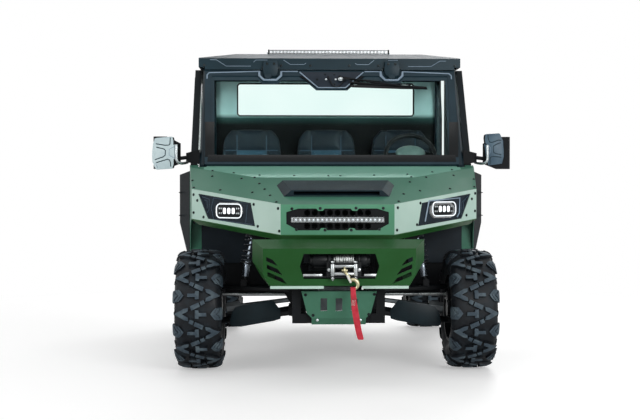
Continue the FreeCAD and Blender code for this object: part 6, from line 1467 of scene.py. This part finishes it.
def build_doors(sizes):
    """Window seals, pressed lines, handles with their locks and hinge pin caps of both doors."""
    for side, sign in (("left", 1), ("right", -1)):
        body = f"door_{side}"
        edge = [spot(sign * 835.8, station, z) for station, z in WINDOW_SEAL]
        seal = sweep(f"door_seal_{side}", edge, sizes.door_seal_radius, 12, cyclic=True)
        finished(seal, body, "soft_grip", smooth=60.0)
        lines = [sweep("line", [spot(sign * 904.2, station, z) for station in (520, 960, 1425)], 3.2 * MM, 12)
                 for z in (836, 972)]
        fitted(f"door_lines_{side}", lines, "door_black", body, smooth=60.0)
        bezel = block("bezel", spot(sign * 906, 1380, 1025), (0.004, 0.132, 0.058), round_mm=1.5)
        lever = block("lever", spot(sign * 915, 1380, 1025), (0.006, 0.094, 0.022), round_mm=2.4, segments=3)
        fitted(f"door_handle_{side}", [bezel, lever], "soft_grip", body)
        lock = drum("lock", spot(sign * 906, 1296, 1025), 9.5 * MM, 0.006, ACROSS, 28, 1.0)
        caps = [drum("cap", spot(sign * 822, 441, z + dz), 8.0 * MM, 0.004, sides=20, round_mm=1.0)
                for z in (620, 960) for dz in (62, -2)]
        fitted(f"door_lock_{side}", [lock] + caps, "zinc_steel", body)


def build_bed_fittings():
    """Rim caps, skin lines, lip trim, bolts, tie hooks and reflectors of the dump bed."""
    caps = [block("cap", spot(sign * 689, 2045, 1121.5), (0.028, 0.886, 0.007), round_mm=2.0)
            for sign in (-1, 1)]
    caps.append(block("cap", spot(0, 1611, 1121.5), (1.350, 0.028, 0.007), round_mm=2.0))
    lips = [sweep("lip", [spot(sign * 846.5, station, z) for station, z in SKIN_EDGE], 5.5 * MM, 12)
            for sign in (-1, 1)]
    fitted("bed_caps", caps + lips, "soft_grip", "bed", smooth=50.0)
    lines = [sweep("line", [spot(sign * 845.4, station, z) for station in (1640, 2050, 2450)], 3.4 * MM, 12)
             for sign in (-1, 1) for z in (1040, 800)]
    fitted("bed_lines", lines, "bed_green", "bed", smooth=60.0)
    out = [Matrix.Translation(spot(846, station, 1078)) @ Matrix.Rotation(math.pi / 2, 4, "Y")
           for station in range(1650, 2470, 100)]
    back = [Matrix.Translation(spot(775, 2490.2, z)) @ Matrix.Rotation(math.pi / 2, 4, "X")
            for z in (760, 840, 1060)]
    finished(faced_out(copies(button_bolt(6.0), "bed_bolts", mirrored_places(out + back))), "bed", "fastener")
    hooks = []
    for sign in (-1, 1):
        for station in (1760, 2330):
            points = [spot(sign * 678, station - 30, 1062), spot(sign * 662, station - 28, 1054),
                      spot(sign * 656, station - 14, 1040), spot(sign * 655, station, 1036),
                      spot(sign * 656, station + 14, 1040), spot(sign * 662, station + 28, 1054),
                      spot(sign * 678, station + 30, 1062)]
            hooks.append(sweep("hook", points, 4.0 * MM, 12))
    fitted("bed_hooks", hooks, "zinc_steel", "bed", smooth=60.0)
    marks = [block("mark", spot(sign * 847, 2405, 930), (0.004, 0.080, 0.034), round_mm=1.2)
             for sign in (-1, 1)]
    fitted("bed_reflectors", marks, "tail_red", "bed")


def build_tail():
    """Lamp surrounds and lit rows on the bed's ends, and the tailgate's paddle, latches and pressed ribs."""
    frames, red, pale = [], [], []
    for sign in (-1, 1):
        for dx, dz, size in ((-51, 0, (0.006, 0.006, 0.134)), (51, 0, (0.006, 0.006, 0.134)),
                             (0, 64, (0.108, 0.006, 0.006)), (0, -64, (0.108, 0.006, 0.006)),
                             (0, -24, (0.100, 0.005, 0.003))):
            frames.append(block("frame", spot(sign * 775 + dx, 2504, 945 + dz), size, round_mm=1.2))
        for n in range(4):
            red.append(block("row", spot(sign * 775, 2503.6, 935 + 17 * n), (0.086, 0.003, 0.009),
                             round_mm=0.8))
        pale.append(block("row", spot(sign * 775, 2503.6, 901), (0.086, 0.003, 0.026), round_mm=0.8))
    fitted("tail_frames", frames, "black_plastic", "bed")
    fitted("tail_rows", red, "tail_glow", "bed")
    fitted("tail_reverse", pale, "keeper_white", "bed")
    paddle = [block("bezel", spot(0, 2487, 1093), (0.150, 0.004, 0.036), round_mm=1.5),
              block("paddle", spot(0, 2492, 1092), (0.116, 0.006, 0.014), round_mm=2.0)]
    paddle += [block("latch", spot(sign * 652, 2488, 1084), (0.026, 0.010, 0.052), round_mm=2.0)
               for sign in (-1, 1)]
    fitted("tailgate_paddle", paddle, "soft_grip", "tailgate")
    ribs = [sweep("rib", [spot(x + dx, 2480.6, z) for dx in (-170, 0, 170)], 4.4 * MM, 12)
            for x in (-430, 0, 430) for z in (938, 988, 1038)]
    fitted("tailgate_ribs", ribs, "bed_green", "tailgate", smooth=60.0)


def build_back_window():
    """Rubber seals round the back window on both faces of the wall."""
    corners = [(-584, 1487), (584, 1487), (596, 1499), (596, 1692), (584, 1704), (-584, 1704), (-596, 1692),
               (-596, 1499)]
    seals = [sweep("seal", [spot(x, station, z) for x, z in corners], 5.0 * MM, 12, cyclic=True)
             for station in (1545.5, 1560.5)]
    fitted("back_window_seals", seals, "soft_grip", smooth=60.0)


def build_underside():
    """Hitch pin with its ring, bumper bolts, silencer bands and tailpipe lip."""
    pin = drum("pin", spot(0, 2495, 430), 7.6 * MM, 0.128, ACROSS, 20, 1.5)
    head = drum("head", spot(66, 2495, 430), 12.0 * MM, 0.008, ACROSS, 24, 2.0)
    pull = ring("pull", spot(-58, 2495, 419), 0.012, 0.0018, (0, 0, 0.4), 28, 8)
    plates = [Matrix.Translation(spot(x, 2490.2, 550)) @ Matrix.Rotation(-math.pi / 2, 4, "X")
              for x in (-340, -280, 280, 340)]
    fitted("hitch_pin", [pin, head, pull], "zinc_steel")
    finished(copies(button_bolt(8.0), "rear_bumper_bolts", plates), "chassis", "zinc_steel")
    bands = [ring("band", spot(x, 2240, 640), 0.0775, 0.0032, ACROSS, 48, 8) for x in (-96, 96)]
    lip = ring("lip", spot(100, 2440, 648), 0.0200, 0.0028, ALONG, 36, 10)
    fitted("exhaust_bands", bands + [lip], "bright_edge", smooth=60.0)


OWN_FINISHES = {
    "rear_panel": "rear_wall",
    "hood_scoop": "scoop_navy",
    "wheel_arch_liners": "liner_navy",
    "lamp_bezels": "bezel_navy",
    "fairlead": "winch_black",
}


def dress_frame():
    """Gives every frame node the finish that the record names for it, or a closer shade of it."""
    for node_name in frame["nodes"]:
        clad(frame["nodes"][node_name], OWN_FINISHES.get(node_name) or slot_of(node_name))


def build_floor(levels):
    """Pale floor that fades to white with distance and is seen a little brighter than it is lit."""
    clear_selection()
    bpy.ops.mesh.primitive_plane_add(size=60.0, location=(0.0, 0.0, -0.002))
    floor = placed("studio_floor")
    material, tree, output, place = new_material("studio floor paint")
    mottle = noise_at(tree, place, 900.0)
    paint = add_node(tree, "ShaderNodeBsdfPrincipled", Roughness=spread(tree, mottle, 0.55, 0.7),
                     Base_Color=blend_colours(tree, spread(tree, mottle, 0.0, 1.0), "#f1f1f1", "#f6f6f6"))
    lift = add_node(tree, "ShaderNodeEmission", Color=colour("#ffffff"), Strength=levels.floor_lift)
    rays = add_node(tree, "ShaderNodeLightPath")
    lifted = add_node(tree, "ShaderNodeAddShader", i_0=paint.outputs[0], i_1=lift.outputs[0])
    away = add_node(tree, "ShaderNodeVectorMath", {"operation": "LENGTH"}, Vector=place).outputs["Value"]
    far = add_node(tree, "ShaderNodeMapRange", Value=away, From_Min=2.6, From_Max=4.6).outputs[0]
    white = add_node(tree, "ShaderNodeEmission", Color=colour("#ffffff"), Strength=1.0)
    faded = add_node(tree, "ShaderNodeMixShader", i_0=far, i_1=lifted.outputs[0], i_2=white.outputs[0])
    seen = add_node(tree, "ShaderNodeMixShader", i_0=rays.outputs["Is Camera Ray"], i_1=paint.outputs[0],
                    i_2=faded.outputs[0])
    tree.links.new(seen.outputs[0], output.inputs[0])
    floor.data.materials.append(material)


def build_air(levels):
    """White surroundings, dimmer as a light than they are where the eye meets them."""
    world = bpy.data.worlds.new("studio air")
    bpy.context.scene.world = world
    world.use_nodes = True
    tree = world.node_tree
    tree.nodes.clear()
    rays = add_node(tree, "ShaderNodeLightPath")
    shown = rays.outputs["Is Camera Ray"]
    for kind in ("Is Transmission Ray", "Is Glossy Ray"):
        shown = add_node(tree, "ShaderNodeMath", {"operation": "MAXIMUM"}, i_0=shown,
                         i_1=rays.outputs[kind]).outputs[0]
    level = add_node(tree, "ShaderNodeMapRange", Value=shown, To_Min=levels.air_light, To_Max=1.0).outputs[0]
    air = add_node(tree, "ShaderNodeBackground", Color=colour("#ffffff"), Strength=level)
    output = add_node(tree, "ShaderNodeOutputWorld")
    tree.links.new(air.outputs[0], output.inputs[0])


LAMPS = (("key", (3.4, -7.4, 2.8), (3.5, 2.5), 240.0), ("fill", (-5.5, -5.0, 2.2), (3.0, 3.0), 110.0),
         ("overhead", (0.0, 0.4, 6.5), (4.0, 4.0), 45.0), ("behind", (1.5, 7.5, 4.0), (5.0, 3.0), 260.0))


def build_lamps(levels):
    """Four soft lamps aimed at the middle of the front."""
    aim = Vector((0.0, -0.6, 0.9))
    for name, place, size, power in LAMPS:
        lamp = bpy.data.lights.new(name, "AREA")
        lamp.shape = "RECTANGLE"
        lamp.size, lamp.size_y = size
        lamp.energy = power * levels.lamp_level
        holder = bpy.data.objects.new(name, lamp)
        bpy.context.collection.objects.link(holder)
        holder.location = place
        holder.rotation_euler = (aim - Vector(place)).to_track_quat("-Z", "Y").to_euler()


def build_camera():
    """Camera that stands where the photograph's stood."""
    lens = bpy.data.cameras.new("photo_camera")
    lens.lens = 70.93
    lens.sensor_width = 36.0
    camera = bpy.data.objects.new("photo_camera", lens)
    bpy.context.collection.objects.link(camera)
    camera.location = EYE
    camera.rotation_euler = (math.radians(90.0 - 1.0), 0.0, math.radians(-1.61))
    scene = bpy.context.scene
    scene.camera = camera
    scene.view_settings.view_transform = "Standard"


def paint(name, hex_code):
    """Colour setting of one part of the vehicle."""
    return bpy.props.FloatVectorProperty(name=name, description="Main shade of the " + name.lower(),
                                         subtype="COLOR", size=4, min=0.0, max=1.0, default=colour(hex_code))


def length(name, description, metres):
    """Size setting, in metres, that can be halved or doubled."""
    return bpy.props.FloatProperty(name=name, description=description, default=metres, min=metres / 2,
                                   max=metres * 2, precision=4, unit="LENGTH")


class VehiclePaints(bpy.types.PropertyGroup):
    """Main shades of the painted, moulded and sewn parts."""

    bumper: paint("Bumper plate", "#1d4a1f")
    skid: paint("Skid plate", "#3c6a54")
    # Nose, lamp panels, lips, hood and cowl are one green paint; their five shades paint in how the light
    # falls on each panel
    nose: paint("Nose panel with painted shading", "#4e8a6b")
    panel: paint("Lamp panels with painted highlight", "#b2cfc3")
    lip: paint("Lips under the lamps with painted shade", "#235526")
    hood: paint("Hood", "#3f7560")
    cowl: paint("Cowl strip with painted highlight", "#7ab29d")
    cage: paint("Roll cage", "#16252d")
    screen: paint("Windshield frame", "#192c35")
    roof: paint("Roof", "#152a33")
    seat: paint("Seat vinyl", "#141d25")
    seat_panel: paint("Seat middle panels", "#2c4454")
    door: paint("Door skins", "#0b1317")
    bed: paint("Cargo bed", "#336345")
    wheel: paint("Cast wheels", "#101315")
    strap: paint("Pull strap", "#b3152c")


class VehicleSizes(bpy.types.PropertyGroup):
    """Sizes of the small fittings."""

    lug_height: length("Lug height", "How far the tread lugs stand off the tyre's crown", 0.019)
    rim_bolt_radius: length("Rim bolt radius", "Radius of the bolt heads round each rim", 0.0042)
    nose_bolt_radius: length("Nose bolt radius", "Radius of the bolt heads on nose and hood", 0.006)
    lamp_ring_wire: length("Lamp ring radius", "Radius of the lit ring's tube round each headlamp", 0.0031)
    screen_seal_radius: length("Windshield seal radius", "Radius of the bead on the windshield's head",
                               0.0042)
    seat_swell: length("Seat swell", "Farthest that the cloth pressure moves a pad's cover", 0.022)
    piping_radius: length("Piping radius", "Radius of the piping on the seats", 0.0024)
    steering_radius: length("Steering wheel radius", "Radius of the rim's middle line", 0.151)
    roof_lamp_radius: length("Light bar lamp radius", "Radius of each lamp in the roof's light bar", 0.0082)
    spring_radius: length("Spring radius", "Radius of the shocks' coils to the wire's middle", 0.034)
    spring_wire: length("Spring wire radius", "Radius of the wire of the shocks' coils", 0.0055)
    door_seal_radius: length("Door seal radius", "Radius of the bead round each door's window", 0.0045)


class VehicleLevels(bpy.types.PropertyGroup):
    """Levels of the stage's light."""

    lamp_level: bpy.props.FloatProperty(name="Lamp level", description="Strength of all the lamps",
                                        default=1.0, min=0.0, max=4.0, subtype="FACTOR")
    air_light: bpy.props.FloatProperty(name="Air light", description="Light that comes from all round",
                                       default=0.3, min=0.0, max=2.0, subtype="FACTOR")
    floor_lift: bpy.props.FloatProperty(name="Floor lift", description="Glow that keeps the seen floor white",
                                        default=0.35, min=0.0, max=1.0, subtype="FACTOR")


class VEHICLE_OT_finishes(bpy.types.Operator):
    """Makes the finishes and gives every frame node its own"""

    bl_idname = "vehicle.finishes"
    bl_label = "Finishes"

    def execute(self, context):
        MATERIALS.update(all_materials(context.scene.vehicle_paints))
        dress_frame()
        return {"FINISHED"}


class VEHICLE_OT_cable(bpy.types.Operator):
    """Lays the wiper's cable"""

    bl_idname = "vehicle.cable"
    bl_label = "Wiper cable"

    def execute(self, context):
        build_wiper_cable()
        return {"FINISHED"}


class VEHICLE_OT_tyres(bpy.types.Operator):
    """Models the four mud tyres"""

    bl_idname = "vehicle.tyres"
    bl_label = "Tyres"

    def execute(self, context):
        build_tyres(context.scene.vehicle_sizes)
        return {"FINISHED"}


class VEHICLE_OT_wheel_fittings(bpy.types.Operator):
    """Models the nuts, caps and valves of the wheels"""

    bl_idname = "vehicle.wheel_fittings"
    bl_label = "Wheel fittings"

    def execute(self, context):
        build_wheel_fittings()
        return {"FINISHED"}


class VEHICLE_OT_nose_bolts(bpy.types.Operator):
    """Sets the bolts of nose, hood and skid plate"""

    bl_idname = "vehicle.nose_bolts"
    bl_label = "Nose bolts"

    def execute(self, context):
        build_nose_bolts(context.scene.vehicle_sizes)
        return {"FINISHED"}


class VEHICLE_OT_lamps(bpy.types.Operator):
    """Models the headlamps, the painted highlights along their bezels' folds, and the grille lights"""

    bl_idname = "vehicle.lamps"
    bl_label = "Front lamps"

    def execute(self, context):
        build_headlamps(context.scene.vehicle_sizes)
        build_bezel_lines()
        build_grille_lights()
        return {"FINISHED"}


class VEHICLE_OT_windshield(bpy.types.Operator):
    """Models the windshield's print, seal and hinges"""

    bl_idname = "vehicle.windshield"
    bl_label = "Windshield"

    def execute(self, context):
        build_screen_print()
        build_screen_hinges(context.scene.vehicle_sizes)
        return {"FINISHED"}


class VEHICLE_OT_wiper(bpy.types.Operator):
    """Models the wiper"""

    bl_idname = "vehicle.wiper"
    bl_label = "Wiper"

    def execute(self, context):
        build_wiper()
        return {"FINISHED"}


class VEHICLE_OT_winch(bpy.types.Operator):
    """Models the winch and its roller fairlead"""

    bl_idname = "vehicle.winch"
    bl_label = "Winch"

    def execute(self, context):
        build_winch()
        build_fairlead()
        return {"FINISHED"}


class VEHICLE_OT_hook(bpy.types.Operator):
    """Models the hook and the strap that hangs from it"""

    bl_idname = "vehicle.hook"
    bl_label = "Hook and strap"

    def execute(self, context):
        build_hook()
        build_strap()
        return {"FINISHED"}


class VEHICLE_OT_front_depth(bpy.types.Operator):
    """Models what shows behind and under the bumper"""

    bl_idname = "vehicle.front_depth"
    bl_label = "Behind the bumper"

    def execute(self, context):
        build_front_depth()
        return {"FINISHED"}


class VEHICLE_OT_seats(bpy.types.Operator):
    """Models the three seats' cushions and backs"""

    bl_idname = "vehicle.seats"
    bl_label = "Seats"

    def execute(self, context):
        build_seats(context.scene.vehicle_sizes)
        return {"FINISHED"}


class VEHICLE_OT_steering_wheel(bpy.types.Operator):
    """Models the steering wheel"""

    bl_idname = "vehicle.steering_wheel"
    bl_label = "Steering wheel"

    def execute(self, context):
        build_steering_wheel(context.scene.vehicle_sizes)
        return {"FINISHED"}


class VEHICLE_OT_dash(bpy.types.Operator):
    """Models the display, switches, vents and glovebox lid"""

    bl_idname = "vehicle.dash"
    bl_label = "Dash"

    def execute(self, context):
        build_dash()
        return {"FINISHED"}


class VEHICLE_OT_mirrors(bpy.types.Operator):
    """Models both mirrors"""

    bl_idname = "vehicle.mirrors"
    bl_label = "Mirrors"

    def execute(self, context):
        build_mirrors()
        return {"FINISHED"}


class VEHICLE_OT_roof(bpy.types.Operator):
    """Models the roof's lines and studs and its light bar"""

    bl_idname = "vehicle.roof"
    bl_label = "Roof"

    def execute(self, context):
        build_roof(context.scene.vehicle_sizes)
        return {"FINISHED"}


class VEHICLE_OT_shocks(bpy.types.Operator):
    """Models the four shocks, their springs and the covers on the arms"""

    bl_idname = "vehicle.shocks"
    bl_label = "Shocks and arm covers"

    def execute(self, context):
        build_shocks(context.scene.vehicle_sizes)
        build_arm_covers()
        return {"FINISHED"}


class VEHICLE_OT_doors(bpy.types.Operator):
    """Models the fittings of both doors"""

    bl_idname = "vehicle.doors"
    bl_label = "Doors"

    def execute(self, context):
        build_doors(context.scene.vehicle_sizes)
        return {"FINISHED"}


class VEHICLE_OT_rear(bpy.types.Operator):
    """Models the fittings of the bed, the tailgate, the tail lamps and the back window"""

    bl_idname = "vehicle.rear"
    bl_label = "Bed and tail"

    def execute(self, context):
        build_bed_fittings()
        build_tail()
        build_back_window()
        return {"FINISHED"}


class VEHICLE_OT_underside(bpy.types.Operator):
    """Models the fittings of the underside"""

    bl_idname = "vehicle.underside"
    bl_label = "Underside"

    def execute(self, context):
        build_underside()
        return {"FINISHED"}


class VEHICLE_OT_rim_bolts(bpy.types.Operator):
    """Sets the bolts round the four rims"""

    bl_idname = "vehicle.rim_bolts"
    bl_label = "Rim bolts"

    def execute(self, context):
        build_rim_bolts(context.scene.vehicle_sizes)
        return {"FINISHED"}


class VEHICLE_OT_stage(bpy.types.Operator):
    """Builds the floor, the surroundings, the lamps and the camera"""

    bl_idname = "vehicle.stage"
    bl_label = "Stage"

    def execute(self, context):
        levels = context.scene.vehicle_levels
        build_floor(levels)
        build_air(levels)
        build_lamps(levels)
        build_camera()
        return {"FINISHED"}


STEPS = (VEHICLE_OT_finishes, VEHICLE_OT_cable, VEHICLE_OT_tyres, VEHICLE_OT_wheel_fittings,
         VEHICLE_OT_nose_bolts, VEHICLE_OT_lamps, VEHICLE_OT_windshield, VEHICLE_OT_wiper, VEHICLE_OT_winch,
         VEHICLE_OT_hook, VEHICLE_OT_front_depth, VEHICLE_OT_seats, VEHICLE_OT_steering_wheel,
         VEHICLE_OT_dash, VEHICLE_OT_mirrors, VEHICLE_OT_roof, VEHICLE_OT_shocks, VEHICLE_OT_doors,
         VEHICLE_OT_rear, VEHICLE_OT_underside, VEHICLE_OT_rim_bolts, VEHICLE_OT_stage)
GROUPS = {"vehicle_paints": VehiclePaints, "vehicle_sizes": VehicleSizes, "vehicle_levels": VehicleLevels}


class VEHICLE_PT_sidebar(bpy.types.Panel):
    """Lists the settings and the steps"""

    bl_idname = "VEHICLE_PT_sidebar"
    bl_label = "Side by side vehicle"
    bl_space_type = "VIEW_3D"
    bl_region_type = "UI"
    bl_category = "Vehicle"

    def draw(self, context):
        for held, group in GROUPS.items():
            for name in group.__annotations__:
                self.layout.prop(getattr(context.scene, held), name)
        for step in STEPS:
            self.layout.operator(step.bl_idname)


CLASSES = (*GROUPS.values(), *STEPS, VEHICLE_PT_sidebar)


def register():
    for item in CLASSES:
        bpy.utils.register_class(item)
    for held, group in GROUPS.items():
        setattr(bpy.types.Scene, held, bpy.props.PointerProperty(type=group))


def unregister():
    for held in GROUPS:
        delattr(bpy.types.Scene, held)
    for item in reversed(CLASSES):
        bpy.utils.unregister_class(item)


def main():
    register()
    for step in STEPS:
        operator = getattr(bpy.ops.vehicle, step.bl_idname.split(".")[1])
        if operator() != {"FINISHED"}:
            raise RuntimeError(step.bl_label + " did not finish")
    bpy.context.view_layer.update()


if __name__ == "__main__":
    main()
